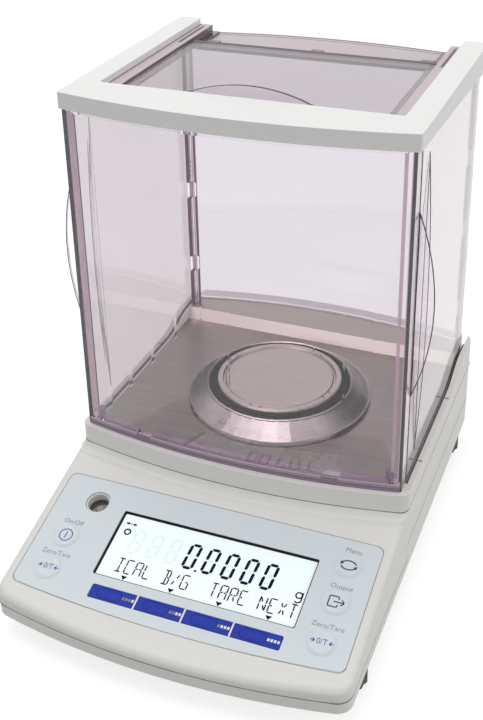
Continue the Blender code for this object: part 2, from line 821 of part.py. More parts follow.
# Main board on posts of the tray, and the display board on posts behind the panel
board_low = base + floor_thickness + board_leg
board_half = board_width / 2
node("main_board", box(-board_half, board_half, board_back - board_depth / 2, board_back + board_depth / 2,
                       board_low + gap, board_low + gap + board_thickness), board_green)
for side in (-1, 1):
    post = rod(chassis_leg_radius / 2, base + floor_thickness / 2, board_low)
    add(tray, moved(post, side * (board_half - chassis_leg_radius), board_back))
board_top = -display_board_drop
display_board_mesh = box(-display_board_half_width, display_board_half_width, -display_board_bottom,
                         display_board_top, board_top - board_thickness, board_top)
display_board = node("display_board", display_board_mesh, board_green, panel)
level_hole = rod(level_radius + slide_gap, board_top - overcut, board_top + overcut)
cut(display_board, moved(level_hole, -level_x, level_v))
module = box(window_left + display_margin, window_right - display_margin, window_low + display_margin,
             window_high - display_margin, board_top + gap, -window_thickness - gap)
node("display_module", module, dark_plastic, panel)
for x in (-display_board_half_width + display_post, display_board_half_width - display_post):
    for v in (-display_board_bottom + display_post, display_board_top - display_post):
        add(housing, moved(rod(display_post / 2, board_top + gap, -recess - wall / 2), x, v), panel)

# Front glazing: a bowed sheet with returned corners, a thick bottom rail, a top flange and two corner posts
panel_low = deck + gap
glass_high = deck + glass_top


def front_band(x, front, depth, low, high):
    """A bowed band with the front glazing's curve, from x to -x."""
    outer = [(u, -v) for u, v in bow(-x, x, front, glass_front_bow)]
    back = [(u, -v) for u, v in bow(x, -x, front - depth, glass_front_bow)]
    return slab(outer + back, low, high)


glass_inner = glass_half_width - glass_thickness
corner_back = -glass_front + corner_return
inner_front = glass_front - glass_thickness
outer_line = [(x, -y) for x, y in bow(-glass_half_width, glass_half_width, glass_front, glass_front_bow)]
inner_line = [(x, -y) for x, y in bow(glass_inner, -glass_inner, inner_front, glass_front_bow)]
front_plan = outer_line + [(glass_half_width, corner_back), (glass_inner, corner_back)]
front_plan += inner_line + [(-glass_inner, corner_back), (-glass_half_width, corner_back)]
front = node("front_panel", slab(front_plan, panel_low, glass_high), tinted)
rail_x = glass_half_width - glass_thickness / 2
rail_front = glass_front - glass_thickness / 2
add(front, front_band(rail_x, rail_front, rail_depth, panel_low + gap, panel_low + rail_height))
flange_x = glass_inner - 2 * slide_gap - guide_width
flange_low = glass_high - glass_thickness
add(front, front_band(flange_x, rail_front, top_flange_depth, flange_low, glass_high - gap))
notch_bow = glass_front_bow * (1 - (rail_notch_left / glass_half_width) ** 2)
notch_face = glass_front + notch_bow - glass_thickness - gap
cut(front, box(-rail_notch_left, -rail_notch_right, -notch_face, -floor_front, panel_low + rail_notch_base,
               panel_low + rail_height + overcut))
for side in (-1, 1):
    post = rod(post_radius, panel_low + 2 * gap, panel_low + post_height)
    add(front, moved(post, side * post_x, -post_front))

# Rear glazing: a bowed sheet with notched side returns and a top flange
rear_low = raised + 2 * gap
rear_inner = rear_half_width - glass_thickness
return_front = rear_corner - rear_return
back_line = bow(rear_half_width, -rear_half_width, rear_corner, rear_bow)
back_inner = bow(-rear_inner, rear_inner, rear_corner - glass_thickness, rear_bow)
rear_plan = back_line + [(-rear_half_width, return_front), (-rear_inner, return_front)]
rear_plan += back_inner + [(rear_inner, return_front), (rear_half_width, return_front)]
rear = node("rear_panel", slab(rear_plan, rear_low, glass_high), tinted)
flange_half = rear_half_width - gap
flange_plan = [(-flange_half, rear_flange_front), (flange_half, rear_flange_front)]
flange_plan += bow(flange_half, -flange_half, rear_corner - glass_thickness / 2, rear_bow)
add(rear, slab(flange_plan, glass_high - rear_flange_thickness, glass_high - gap))
for side in (-1, 1):
    near_x, far_x = sorted((side * (rear_inner - gap), side * (rear_half_width + gap)))
    for height in (low_notch, middle_notch, high_notch):
        notch_low = deck + height - notch_height / 2
        cut(rear, box(near_x, far_x, return_front - gap, return_front + notch_depth, notch_low,
                      notch_low + notch_height))

# Clips on the rear flange
clip = box(-clip_width / 2, clip_width / 2, -clip_length / 2, clip_length / 2, 0, clip_height)
for name, x in (("left", -clip_spacing), ("middle", 0), ("right", clip_spacing)):
    node(f"rear_clip_{name}", clip, tinted, root, (x, clip_back, glass_high))

# Side doors: a flat pane, a deep finger fin at the front edge and a long shallow rib behind it
door_front = corner_back + door_front_gap
door_inner = glass_half_width - glass_thickness


def segment(half_length, depth, steps=bow_steps):
    """A circular segment standing on the line from -half_length to half_length."""
    radius = (half_length ** 2 + depth ** 2) / (2 * depth)
    swing = math.asin(half_length / radius)
    turns = [swing * (2 * k / steps - 1) for k in range(steps + 1)]
    return [(radius * math.cos(turn) - radius + depth, radius * math.sin(turn)) for turn in turns]


for side, name in ((-1, "left_door"), (1, "right_door")):
    near_x, far_x = sorted((side * door_inner, side * glass_half_width))
    door = node(name, box(near_x, far_x, 0, door_rear - door_front, -door_drop, door_top), tinted, root,
                (0, door_front, deck))
    skin = glass_half_width - gap
    fin_foot = side * (skin - gap)
    fin = [(fin_foot, fin_middle - fin_half_length)]
    fin += [(side * (skin + u), fin_middle + v) for u, v in segment(fin_half_length, fin_depth)]
    fin.append((fin_foot, fin_middle + fin_half_length))
    add(door, slab(fin, gap, fin_thickness, "Y"))
    rib_half = (rib_top - rib_bottom) / 2
    rib_middle = (rib_top + rib_bottom) / 2
    rib = [(fin_foot, rib_bottom)]
    rib += [(side * (skin + u), rib_middle + v) for u, v in segment(rib_half, rib_depth)]
    rib.append((fin_foot, rib_top))
    rib_place = -rib_back - door_front
    add(door, slab(rib, rib_place - rib_thickness / 2, rib_place + rib_thickness / 2, "Y"))

# Top frame: a U of white bars with an outer lip and an inner guide over each door
bar_inner = frame_half_width - frame_bar
frame_line = [(x, -y) for x, y in bow(-frame_half_width, frame_half_width, frame_front, frame_front_bow)]
frame_line += [(frame_half_width, frame_rear), (bar_inner, frame_rear), (bar_inner, -frame_front_inner),
               (-bar_inner, -frame_front_inner), (-bar_inner, frame_rear), (-frame_half_width, frame_rear)]
frame_plan = rounded(frame_line, frame_bevel)
frame = node("top_frame", slab(frame_plan, deck + frame_bottom, deck + frame_top), off_white)
round_edges(frame, lambda middle: middle.z > deck + frame_top - gap, frame_bevel, 2)
frame_low = deck + frame_bottom
lip_front = frame_radius - frame_front
lip_rear = frame_rear - gap
guide_outer = door_inner - slide_gap
for side in (-1, 1):
    lip_x, lip_far = sorted((side * (frame_half_width - lip_thickness), side * (frame_half_width - gap)))
    lip = [(lip_front, frame_low + frame_bevel), (lip_front, frame_low - gap),
           (lip_rear, frame_low - lip_rear_drop), (lip_rear, frame_low + frame_bevel)]
    add(frame, slab(lip, lip_x, lip_far, "X"))
    guide_x, guide_far = sorted((side * (guide_outer - guide_width), side * guide_outer))
    add(frame, box(guide_x, guide_far, door_front + fin_thickness, rear_flange_front - slide_gap,
                   frame_low - guide_drop, frame_low + frame_bevel))

# Clear ledges that carry the top door inside the frame
ledge_front = frame_bevel - frame_front_inner
for side, name in ((-1, "left_top_ledge"), (1, "right_top_ledge")):
    x_outer = bar_inner - gap
    section = [(ledge_inner, ledge_bottom), (x_outer, ledge_bottom), (x_outer, ledge_top),
               (ledge_block, ledge_top), (ledge_block, ledge_step), (ledge_inner, ledge_step)]
    section = [(side * x, deck + z) for x, z in section]
    ledge = node(name, slab(section, ledge_front, frame_rear, "Y"), tinted)
    slot_x = (ledge_block + x_outer) / 2
    near_x, far_x = sorted((side * (slot_x - ledge_slot_width / 2), side * (slot_x + ledge_slot_width / 2)))
    cut(ledge, box(near_x, far_x, ledge_slot_front, ledge_slot_rear, deck + ledge_step,
                   deck + ledge_top + overcut))

# Top door with its upright fin at the front edge
top_door_half = ledge_block - slide_gap
top_length = top_door_front + top_door_rear
top_pane = box(-top_door_half, top_door_half, 0, top_length, 0, top_door_thickness)
top_door = node("top_door", top_pane, tinted, root, (0, -top_door_front, deck + top_door_bottom))
top_fin_foot = top_door_thickness - 2 * gap
top_fin = [(top_fin_half_length, top_fin_foot)]
top_fin += [(-v, top_fin_foot + gap + u) for u, v in segment(top_fin_half_length, top_fin_height)]
top_fin.append((-top_fin_half_length, top_fin_foot))
add(top_door, slab(top_fin, gap, fin_thickness, "Y"))

# Levelling feet: a fluted wheel on a threaded stud turns in the tray and pivots in a rubber pad
flute_points = wheel_flutes * 4
wheel_plan = []
for k in range(flute_points):
    turn = 2 * math.pi * k / flute_points
    reach = wheel_radius - flute_radius / 2 * (1 - math.cos(wheel_flutes * turn))
    wheel_plan.append((reach * math.cos(turn), reach * math.sin(turn)))
wheel_low = pad_height + gap
wheel_mesh = slab(wheel_plan, wheel_low, wheel_low + wheel_height)
pivot_low = pad_height - pivot_depth
pad_mesh = turned([(0, pivot_low), (pivot_radius + gap, pivot_low), (pivot_radius + gap, pad_height),
                   (pad_radius, pad_height), (pad_radius, 0), (0, 0)], small_steps)
wheel_middle = wheel_low + wheel_height / 2
foot_places = {
    "front_left": (-foot_half_spacing, -foot_front),
    "front_right": (foot_half_spacing, -foot_front),
    "rear_left": (-foot_half_spacing, foot_rear),
    "rear_right": (foot_half_spacing, foot_rear),
}
for name, (x, y) in foot_places.items():
    foot = node(f"foot_{name}", wheel_mesh.copy(), dark_plastic, root, (x, y, 0))
    add(foot, rod(stud_radius, wheel_middle, base + stud_reach))
    add(foot, rod(pivot_radius, pivot_low + gap, wheel_middle))
    node(f"foot_pad_{name}", pad_mesh.copy(), rubber, root, (x, y, 0))
    cut(tray, moved(rod(stud_radius + gap, base - overcut, base + floor_thickness + overcut), x, y))

# Screws that hold the tray to the housing, sunk in its underside
screw_low = base + gap
screw_seat = screw_low + screw_head_height
screw_tip = screw_seat + screw_length
screw = turned([(0, screw_tip), (screw_radius, screw_tip), (screw_radius, screw_seat),
                (screw_head_radius, screw_seat), (screw_head_radius, screw_low), (0, screw_low)], screw_steps)
screw_number = 0
for x in (-screw_half_spacing, screw_half_spacing):
    for y in (-screw_front, screw_rear):
        screw_number += 1
        node(f"base_screw_{screw_number}", screw, screw_steel, root, (x, y, 0))
        cut(tray, moved(rod(screw_head_radius + gap, base - overcut, screw_seat + gap, screw_steps), x, y))
        cut(tray, moved(rod(screw_radius + gap, base, base + floor_thickness + overcut, screw_steps), x, y))

# Power inlet and data connector in the rear wall
socket_z = deck - inlet_drop


def rear_at(x):
    return body_rear + body_rear_bow * (1 - (x / body_half_width) ** 2)


def rear_socket(name, x, width, height, depth, mouth):
    """A block in an opening of the rear wall, with its mouth cut from behind, and its rear face."""
    back = rear_at(abs(x) + width / 2) + gap
    low_z = socket_z - height / 2
    high_z = socket_z + height / 2
    left = x - width / 2
    right = x + width / 2
    block = node(name, box(left, right, back - depth, back, low_z, high_z), dark_plastic)
    cut(housing, box(left - gap, right + gap, back - depth, behind, low_z - gap, high_z + gap))
    cut(block, facing_back(mouth, x, back))
    return block, back


def facing_back(mesh, x, back):
    """Turns a mesh that stands on z = 0 so that it reaches forward from the rear face."""
    mesh.transform(Matrix.Rotation(math.radians(90), 4, "X"))
    mesh.transform(Matrix.Translation((x, back, socket_z)))
    return mesh


inlet_mouth = rod(socket_bore_radius, -overcut, socket_length * socket_bore_share)
inlet, inlet_back = rear_socket("power_inlet", inlet_x, socket_width, socket_height, socket_length,
                                inlet_mouth)
inlet_pin = rod(socket_pin_radius, 2 * gap, socket_length * socket_pin_share)
add(inlet, facing_back(inlet_pin, inlet_x, inlet_back))
mouth_half = serial_width * serial_mouth_width_share
mouth_rise = serial_height * serial_mouth_height_share
mouth_radius = serial_height * serial_mouth_radius_share
serial_mouth = slab(oblong(-mouth_half, mouth_half, -mouth_rise, mouth_rise, mouth_radius, 3), -overcut,
                    serial_depth * serial_mouth_depth_share)
rear_socket("data_connector", -serial_x, serial_width, serial_height, serial_depth, serial_mouth)
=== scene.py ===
import math

import bpy
import numpy as np
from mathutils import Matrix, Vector


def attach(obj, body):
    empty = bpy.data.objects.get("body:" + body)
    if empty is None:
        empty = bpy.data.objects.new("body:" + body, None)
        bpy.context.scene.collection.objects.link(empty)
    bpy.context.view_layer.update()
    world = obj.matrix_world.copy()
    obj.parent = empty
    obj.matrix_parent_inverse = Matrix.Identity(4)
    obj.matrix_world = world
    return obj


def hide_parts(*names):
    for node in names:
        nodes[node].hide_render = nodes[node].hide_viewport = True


# Laboratory balance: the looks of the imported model. Metres, the front faces -Y, the feet stand on z = 0.
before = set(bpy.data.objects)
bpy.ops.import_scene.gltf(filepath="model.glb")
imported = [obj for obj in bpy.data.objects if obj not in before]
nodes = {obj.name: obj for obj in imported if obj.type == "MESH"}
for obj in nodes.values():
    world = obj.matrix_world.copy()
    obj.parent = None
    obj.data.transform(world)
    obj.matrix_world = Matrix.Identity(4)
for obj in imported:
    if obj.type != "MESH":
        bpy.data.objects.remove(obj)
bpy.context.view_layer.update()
scene = bpy.context.scene
addObject = scene.collection.objects.link
print("frame loaded")

# Camera: the photograph looks down at the balance from its front right
view = {"place": (0.21849, -0.54914, 0.48655), "turn": (64.2548, 1.1169, 21.8414), "lens": 57.73,
        "lift": -0.1694}
cameraData = bpy.data.cameras.new("camera")
cameraData.lens = view["lens"]
cameraData.shift_y = view["lift"]
cameraData.clip_start = 0.01
camera = bpy.data.objects.new("camera", cameraData)
camera.location = view["place"]
camera.rotation_euler = [math.radians(a) for a in view["turn"]]
addObject(camera)
scene.camera = camera
scene.view_settings.view_transform = "Standard"

# Studio: an even white world, a wide lamp above, a warm one at the right and a cool one in front
studio = {
    "worldLight": 0.46, "floorGlow": 1.9,
    "top": {"place": (-0.2, 0.05, 1.5), "size": 1.3, "power": 10.2, "tone": (1.0, 1.0, 1.0)},
    "right": {"place": (1.5, -0.1, 0.7), "size": 1.0, "power": 4.6, "tone": (1.0, 0.97, 0.93)},
    "front": {"place": (-0.6, -1.6, 0.5), "size": 1.1, "power": 1.7, "tone": (0.94, 0.97, 1.0)},
}


def wire(source, target):
    # Joins an output socket, or writes a plain value, to an input socket
    if isinstance(source, bpy.types.NodeSocket):
        target.id_data.links.new(source, target)
    else:
        target.default_value = source


def newNode(kind, *values):
    # A node in the tree of the first socket among the values
    return next(v.id_data for v in values if isinstance(v, bpy.types.NodeSocket)).nodes.new(kind)


def addMath(kind, a, b=0.0, c=0.0):
    # A Math node on a, b and c
    node = newNode("ShaderNodeMath", a, b, c)
    node.operation = kind
    for socket, value in zip(node.inputs, (a, b, c)):
        wire(value, socket)
    return node.outputs[0]


def times(a, b, more=0.0):
    # The product of a and b, plus more
    return addMath("MULTIPLY_ADD", a, b, more)


def addVector(kind, a, b=(0.0, 0.0, 0.0), result="Vector"):
    # A Vector Math node on a and b
    node = newNode("ShaderNodeVectorMath", a, b)
    node.operation = kind
    wire(a, node.inputs[0])
    wire(b, node.inputs["Scale"] if kind == "SCALE" else node.inputs[1])
    return node.outputs[result]


def dot(a, b):
    return addVector("DOT_PRODUCT", a, b, "Value")


def seenRays(tree):
    # 1 for rays from the camera, mirrored ones and those through glass, 0 for light on surfaces
    rays = tree.nodes.new("ShaderNodeLightPath").outputs
    seen = addMath("MAXIMUM", rays["Is Camera Ray"], rays["Is Transmission Ray"])
    return addMath("MAXIMUM", seen, rays["Is Glossy Ray"])


world = bpy.data.worlds.new("studio")
scene.world = world
world.use_nodes = True
sky = world.node_tree
sky.nodes.clear()
backdrop = sky.nodes.new("ShaderNodeBackground")
wire((1, 1, 1, 1), backdrop.inputs["Color"])
light = times(seenRays(sky), 1 - studio["worldLight"], studio["worldLight"])
wire(light, backdrop.inputs["Strength"])
wire(backdrop.outputs[0], sky.nodes.new("ShaderNodeOutputWorld").inputs["Surface"])


def addLamp(name, place, size, power, tone):
    # A square lamp that looks at the balance
    lamp = bpy.data.lights.new(name, "AREA")
    lamp.size = size
    lamp.energy = power
    lamp.color = tone
    holder = bpy.data.objects.new(name, lamp)
    holder.location = place
    holder.rotation_euler = (Vector((0, 0, 0.1)) - Vector(place)).to_track_quat("-Z", "Y").to_euler()
    addObject(holder)


for side in ("top", "right", "front"):
    addLamp(f"{side}Lamp", **studio[side])
print("camera and studio ready")


# Shared effects: node groups that give a colour, a roughness and a height

def newGroup(name, inputs):
    # An empty group with the named inputs, each a number, a vector of three or a colour of four, and with the
    # outputs Colour, Roughness and Height
    tree = bpy.data.node_groups.new(name, "ShaderNodeTree")
    for socketName, value in inputs.items():
        kind = "Float" if isinstance(value, float) else "Vector" if len(value) == 3 else "Color"
        socket = tree.interface.new_socket(socketName, in_out="INPUT", socket_type="NodeSocket" + kind)
        socket.default_value = value
    for socketName, kind in (("Colour", "Color"), ("Roughness", "Float"), ("Height", "Float")):
        tree.interface.new_socket(socketName, in_out="OUTPUT", socket_type="NodeSocket" + kind)
    return tree, tree.nodes.new("NodeGroupInput").outputs, tree.nodes.new("NodeGroupOutput").inputs


def addNoise(vector, scale, detail=2.0, roughness=0.5):
    # Noise from 0 to 1 about 0.5
    noise = newNode("ShaderNodeTexNoise", vector)
    wire(detail, noise.inputs["Detail"])
    wire(roughness, noise.inputs["Roughness"])
    wire(scale, noise.inputs["Scale"])
    wire(vector, noise.inputs["Vector"])
    return noise.outputs["Fac"]


def centred(value):
    # The value less a half, so that it swings about zero
    return addMath("SUBTRACT", value, 0.5)


def mixColour(share, first, second):
    # The first colour where the share is 0, the second where it is 1
    node = newNode("ShaderNodeMix", share)
    node.data_type = "RGBA"
    for i, value in ((0, share), (6, first), (7, second)):
        wire(value, node.inputs[i])
    return node.outputs[2]


def mouldedGroup():
    # Moulded plastic: fine spark-eroded grain, slow drifts of tone, and a few faint scuffs
    tree, given, made = newGroup("mouldedSurface", {
        "Vector": (0, 0, 0), "Colour": (0.8, 0.8, 0.8, 1), "Drift": 0.03, "Grain Size": 2600.0, "Gloss": 0.45,
        "Gloss Spread": 0.08})
    slow = centred(addNoise(given["Vector"], 9.0, 3.0))
    grain = addNoise(given["Vector"], given["Grain Size"], 2.0)
    scuff = addNoise(addVector("MULTIPLY", given["Vector"], (14.0, 90.0, 30.0)), 6.0, 4.0, 0.6)
    marks = addMath("GREATER_THAN", scuff, 0.71)
    tone = times(slow, given["Drift"], 1.0)
    tone = times(marks, -0.012, tone)
    wire(addVector("SCALE", given["Colour"], tone), made["Colour"])
    gloss = times(slow, given["Gloss Spread"], given["Gloss"])
    wire(times(marks, 0.05, gloss), made["Roughness"])
    wire(grain, made["Height"])
    return tree


def brushedGroup():
    # Brushed steel: fine streaks drawn out along one direction over broad ones, with slow blooms.
    # Faces that lean forward are lighter, a painted highlight of the lamps they would mirror, and faces to
    # the sides darker, a painted shade. Level faces above the shelf height are lighter, a painted highlight.
    tree, given, made = newGroup("brushedSteel", {
        "Vector": (0, 0, 0), "Normal": (0, 0, 0), "Colour": (0.6, 0.57, 0.56, 1), "Streak": (6, 420, 420),
        "Contrast": 0.3, "Forward Sheen": 0.0, "Side Shade": 0.0, "Shelf Sheen": 0.0, "Shelf Height": 1.0, "Gloss": 0.3,
        "Gloss Spread": 0.08})
    drawn = addVector("MULTIPLY", given["Vector"], given["Streak"])
    fine = addNoise(drawn, 2.6, 2.0, 0.6)
    broad = addNoise(drawn, 1.1, 2.0)
    bloom = centred(addNoise(given["Vector"], 11.0, 2.0))
    streaks = times(fine, 0.6, times(broad, 0.4))
    tone = times(centred(streaks), given["Contrast"], 1.0)
    tone = times(bloom, 0.16, tone)
    forward = dot(given["Normal"], (0, -1, 0))
    tone = times(addMath("MAXIMUM", forward, 0.0), given["Forward Sheen"], tone)
    flank = addMath("ABSOLUTE", dot(given["Normal"], (1, 0, 0)))
    tone = addMath("SUBTRACT", tone, times(flank, given["Side Shade"]))
    height = dot(given["Vector"], (0, 0, 1))
    upward = dot(given["Normal"], (0, 0, 1))
    above = addMath("GREATER_THAN", height, given["Shelf Height"])
    tone = times(times(above, addMath("GREATER_THAN", upward, 0.9)), given["Shelf Sheen"], tone)
    wire(addVector("SCALE", given["Colour"], tone), made["Colour"])
    wire(times(centred(streaks), given["Gloss Spread"], given["Gloss"]), made["Roughness"])
    wire(streaks, made["Height"])
    return tree


def turnedGroup():
    # Turned steel: fine rings about the pan's axis, and light and dark fans of painted reflection, as turned
    # faces show.
    # The fans are a sum of sines of the angle about the axis, so they stand still on the piece.
    # Steep faces within Well of the axis are nearly black, a painted shade.
    tree, given, made = newGroup("turnedSteel", {
        "Vector": (0, 0, 0), "Normal": (0, 0, 0), "Centre": (0, 0.04175, 0), "Colour": (0.6, 0.57, 0.56, 1),
        "Reflection Fans": 0.5, "Rings": 0.25, "Level": 1.0, "Turn": 0.0, "Well": 0.0, "Gloss": 0.25,
        "Gloss Spread": 0.06})
    fromAxis = addVector("SUBTRACT", given["Vector"], given["Centre"])
    parts = tree.nodes.new("ShaderNodeSeparateXYZ")
    wire(fromAxis, parts.inputs[0])
    angle = addMath("ADD", addMath("ARCTAN2", parts.outputs[1], parts.outputs[0]), given["Turn"])
    flat = addVector("MULTIPLY", fromAxis, (1, 1, 0))
    radius = addVector("LENGTH", flat, result="Value")
    wave = addMath("SINE", times(angle, 2.0))
    small = addMath("SINE", times(angle, 5.0, 1.3))
    fans = times(small, 0.2, wave)
    tilted = addMath("SUBTRACT", 1.0, dot(given["Normal"], (0, 0, 1)))
    fans = times(fans, times(tilted, 1.6, 0.25))
    drawn = tree.nodes.new("ShaderNodeCombineXYZ")
    wire(times(radius, 700.0), drawn.inputs[0])
    wire(addMath("COSINE", angle), drawn.inputs[1])
    wire(addMath("SINE", angle), drawn.inputs[2])
    grain = addNoise(drawn.outputs[0], 1.0, 2.0)
    tone = times(fans, given["Reflection Fans"], given["Level"])
    tone = times(centred(grain), given["Rings"], tone)
    tone = addMath("MAXIMUM", tone, 0.04)
    within = times(addMath("LESS_THAN", radius, given["Well"]), addMath("GREATER_THAN", tilted, 0.3))
    tone = times(tone, times(within, -0.93, 1.0))
    wire(addVector("SCALE", given["Colour"], tone), made["Colour"])
    wire(times(centred(grain), given["Gloss Spread"], given["Gloss"]), made["Roughness"])
    wire(grain, made["Height"])
    return tree


def paneGroup():
    # Clear moulding: cut edges hold more colour than faces, with a faint haze of wiping marks. A face is
    # where the normal lies along Face Axis, or along Y beyond Fin Start; a return ends below End Below.
    tree, given, made = newGroup("tintedPane", {
        "Vector": (0, 0, 0), "Normal": (0, 0, 0), "Face Axis": (1, 1, 0), "Fin Measure": (0, 0, 0),
        "Fin Start": 1.0, "End Below": -1.0, "Face Colour": (0.93, 0.89, 0.93, 1),
        "Edge Colour": (0.3, 0.18, 0.3, 1)})
    place = addVector("ABSOLUTE", given["Vector"])
    normal = addVector("ABSOLUTE", given["Normal"])
    alongY = dot(normal, (0, 1, 0))
    facing = addVector("LENGTH", addVector("MULTIPLY", normal, given["Face Axis"]), result="Value")
    beyond = dot(place, given["Fin Measure"])
    fin = times(addMath("GREATER_THAN", alongY, 0.6), addMath("GREATER_THAN", beyond, given["Fin Start"]))
    near = dot(place, (0, 1, 0))
    end = times(addMath("GREATER_THAN", alongY, 0.9), addMath("LESS_THAN", near, given["End Below"]))
    cut = times(addMath("LESS_THAN", facing, 0.6), addMath("SUBTRACT", 1.0, fin))
    edge = addMath("MAXIMUM", cut, end)
    cloud = addNoise(given["Vector"], 14.0, 2.0)
    face = mixColour(times(cloud, 0.12), given["Face Colour"], (1, 1, 1, 1))
    face = mixColour(fin, face, (0.94, 0.91, 0.94, 1))
    wire(mixColour(edge, face, given["Edge Colour"]), made["Colour"])
    wipe = addNoise(addVector("MULTIPLY", given["Vector"], (40, 40, 7)), 5.0, 3.0)
    wire(times(wipe, 0.004, times(edge, 0.05)), made["Roughness"])
    wire(addNoise(given["Vector"], 24.0, 1.0), made["Height"])
    return tree


groups = {"moulded": mouldedGroup(), "brushed": brushedGroup(), "turned": turnedGroup(), "pane": paneGroup()}


def surfaced(name, group, values, bump=None, shader=None, glow=0.0):
    # A material whose colour and roughness come from a group, with plain values on the shader. Bump is the
    # strength and the distance of its relief.
    material = bpy.data.materials.new(name)
    material.use_nodes = True
    tree = material.node_tree
    principled = tree.nodes["Principled BSDF"]
    for socketName, value in (shader or {}).items():
        wire(value, principled.inputs[socketName])
    effect = tree.nodes.new("ShaderNodeGroup")
    effect.node_tree = groups[group]
    wire(tree.nodes.new("ShaderNodeTexCoord").outputs["Object"], effect.inputs["Vector"])
    if "Normal" in effect.inputs:
        wire(tree.nodes.new("ShaderNodeNewGeometry").outputs["True Normal"], effect.inputs["Normal"])
    for socketName, value in values.items():
        wire(value, effect.inputs[socketName])
    wire(effect.outputs["Colour"], principled.inputs["Base Color"])
    wire(effect.outputs["Roughness"], principled.inputs["Roughness"])
    if glow:
        wire(effect.outputs["Colour"], principled.inputs["Emission Color"])
        wire(glow, principled.inputs["Emission Strength"])
    if bump:
        relief = tree.nodes.new("ShaderNodeBump")
        wire(bump[0], relief.inputs["Strength"])
        wire(bump[1], relief.inputs["Distance"])
        wire(effect.outputs["Height"], relief.inputs["Height"])
        wire(relief.outputs["Normal"], principled.inputs["Normal"])
    return material


def letLampsThrough(material, tint):
    # Lamps shine through the clear material as through a thin pane, so that the chamber isn't dark
    tree = material.node_tree
    clear = tree.nodes.new("ShaderNodeBsdfTransparent")
    wire(tint, clear.inputs["Color"])
    mix = tree.nodes.new("ShaderNodeMixShader")
    wire(tree.nodes.new("ShaderNodeLightPath").outputs["Is Shadow Ray"], mix.inputs[0])
    wire(tree.nodes["Principled BSDF"].outputs[0], mix.inputs[1])
    wire(clear.outputs[0], mix.inputs[2])
    wire(mix.outputs[0], tree.nodes["Material Output"].inputs["Surface"])
    return material


def plastic(name, colour, gloss, drift=0.03, grain=2600.0, bump=(0.12, 0.00008), shader=None, glow=0.0):
    # Moulded plastic or a printed or painted skin
    values = {"Colour": (*colour, 1), "Gloss": gloss, "Drift": drift, "Grain Size": grain}
    return surfaced(name, "moulded", values, bump, shader, glow)


clearTone, cutTone = (0.83, 0.80, 0.835), (0.12, 0.05, 0.11)


def pane(name, tone, faceAxis, shine, finMeasure=(0, 0, 0), finStart=1.0, endBelow=-1.0):
    # A clear moulding, whose faces and cut edges are told apart by the group's measures
    values = {"Face Axis": faceAxis, "Fin Measure": finMeasure, "Fin Start": finStart, "End Below": endBelow,
              "Face Colour": (*tone, 1), "Edge Colour": (*cutTone, 1)}
    clear = {"Transmission Weight": 1.0, "IOR": 1.49, "Specular IOR Level": shine}
    return letLampsThrough(surfaced(name, "pane", values, shader=clear), (0.9, 0.87, 0.9, 1))


def sheer(name, colour, alpha, drift=0.12, gloss=0.25, blue=0.78):
    # A see-through tint that lamps shine through
    return letLampsThrough(plastic(name, colour, gloss, drift, shader={"Alpha": alpha}), (0.8, 0.7, blue, 1))


def dress(material, *names):
    # Gives CAD nodes a material in each of their slots
    for name in names:
        for slot in nodes[name].material_slots:
            slot.material = material


corners = ("front_left", "front_right", "rear_left", "rear_right")
keys = {"key_on_off": (-81.2, -2.2), "key_zero_tare_left": (-81.2, -24.2), "key_menu": (82.0, 24.1),
        "key_output": (82.0, 0.5), "key_zero_tare_right": (82.0, -24.0)}
blueKeys = [f"key_function_{i}" for i in (1, 2, 3, 4)]
dress(plastic("offWhiteHousing", (0.79, 0.785, 0.755), 0.42), "base_tray", "main_housing", "upper_housing",
      "level_well")
dress(plastic("offWhiteFrame", (0.82, 0.825, 0.81), 0.38), "top_frame")
dress(pane("frontPane", clearTone, (1, 1, 1), 0.05), "front_panel")
dress(pane("rearPane", clearTone, (1, 1, 0), 0.25, endBelow=0.124), "rear_panel")
dress(pane("doorPane", (0.70, 0.665, 0.675), (1, 0, 0), 0.08, (1, 0, 0), 0.0997), "left_door", "right_door")
dress(pane("topPane", (0.52, 0.475, 0.51), (0, 0, 1), 0.5, (0, 0, 1), 0.2828), "top_door", "left_top_ledge",
      "right_top_ledge")
dress(sheer("clipTone", (0.30, 0.20, 0.25), 0.85, 0.1), "rear_clip_left", "rear_clip_middle",
      "rear_clip_right")
filmSkin = plastic("keyFilm", (0.70, 0.775, 0.81), 0.36, 0.02, 5200.0, (0.08, 0.00003))
dress(filmSkin, "key_panel")
dress(plastic("keyCaps", (0.71, 0.782, 0.817), 0.34, 0.02, 5200.0, (0.08, 0.00003)), *keys)
dress(plastic("blueKeys", (0.018, 0.045, 0.42), 0.5, 0.12, 5200.0, (0.05, 0.00002),
              {"Specular IOR Level": 0.2}), *blueKeys)
# The vial is near black: its black base, with painted shade over the liquid deep in its well
dress(plastic("vialShadePlastic", (0.05, 0.045, 0.035), 0.14, 0.2, shader={"Coat Weight": 0.6}), "level_vial")
steel = {"Metallic": 1.0}
# The floor's steel gets a painted highlight on faces that lean forward and on the level shelf
dress(surfaced("floorSteel", "brushed", {
    "Colour": (0.33, 0.285, 0.265, 1), "Gloss": 0.34, "Forward Sheen": 2.0, "Shelf Sheen": 0.45, "Shelf Height": 0.077,
    "Contrast": 0.6, "Streak": (9, 420, 420)}, shader={"Metallic": 1.0, "Anisotropic": 0.5}), "chamber_floor")
# The ring's fans are painted reflections, and its steep faces near the axis are painted black as shade
dress(surfaced("ringSteel", "turned", {
    "Colour": (0.50, 0.44, 0.43, 1), "Reflection Fans": 1.35, "Level": 0.92, "Turn": 2.25,
    "Well": 0.0472}, shader=steel), "draught_ring")
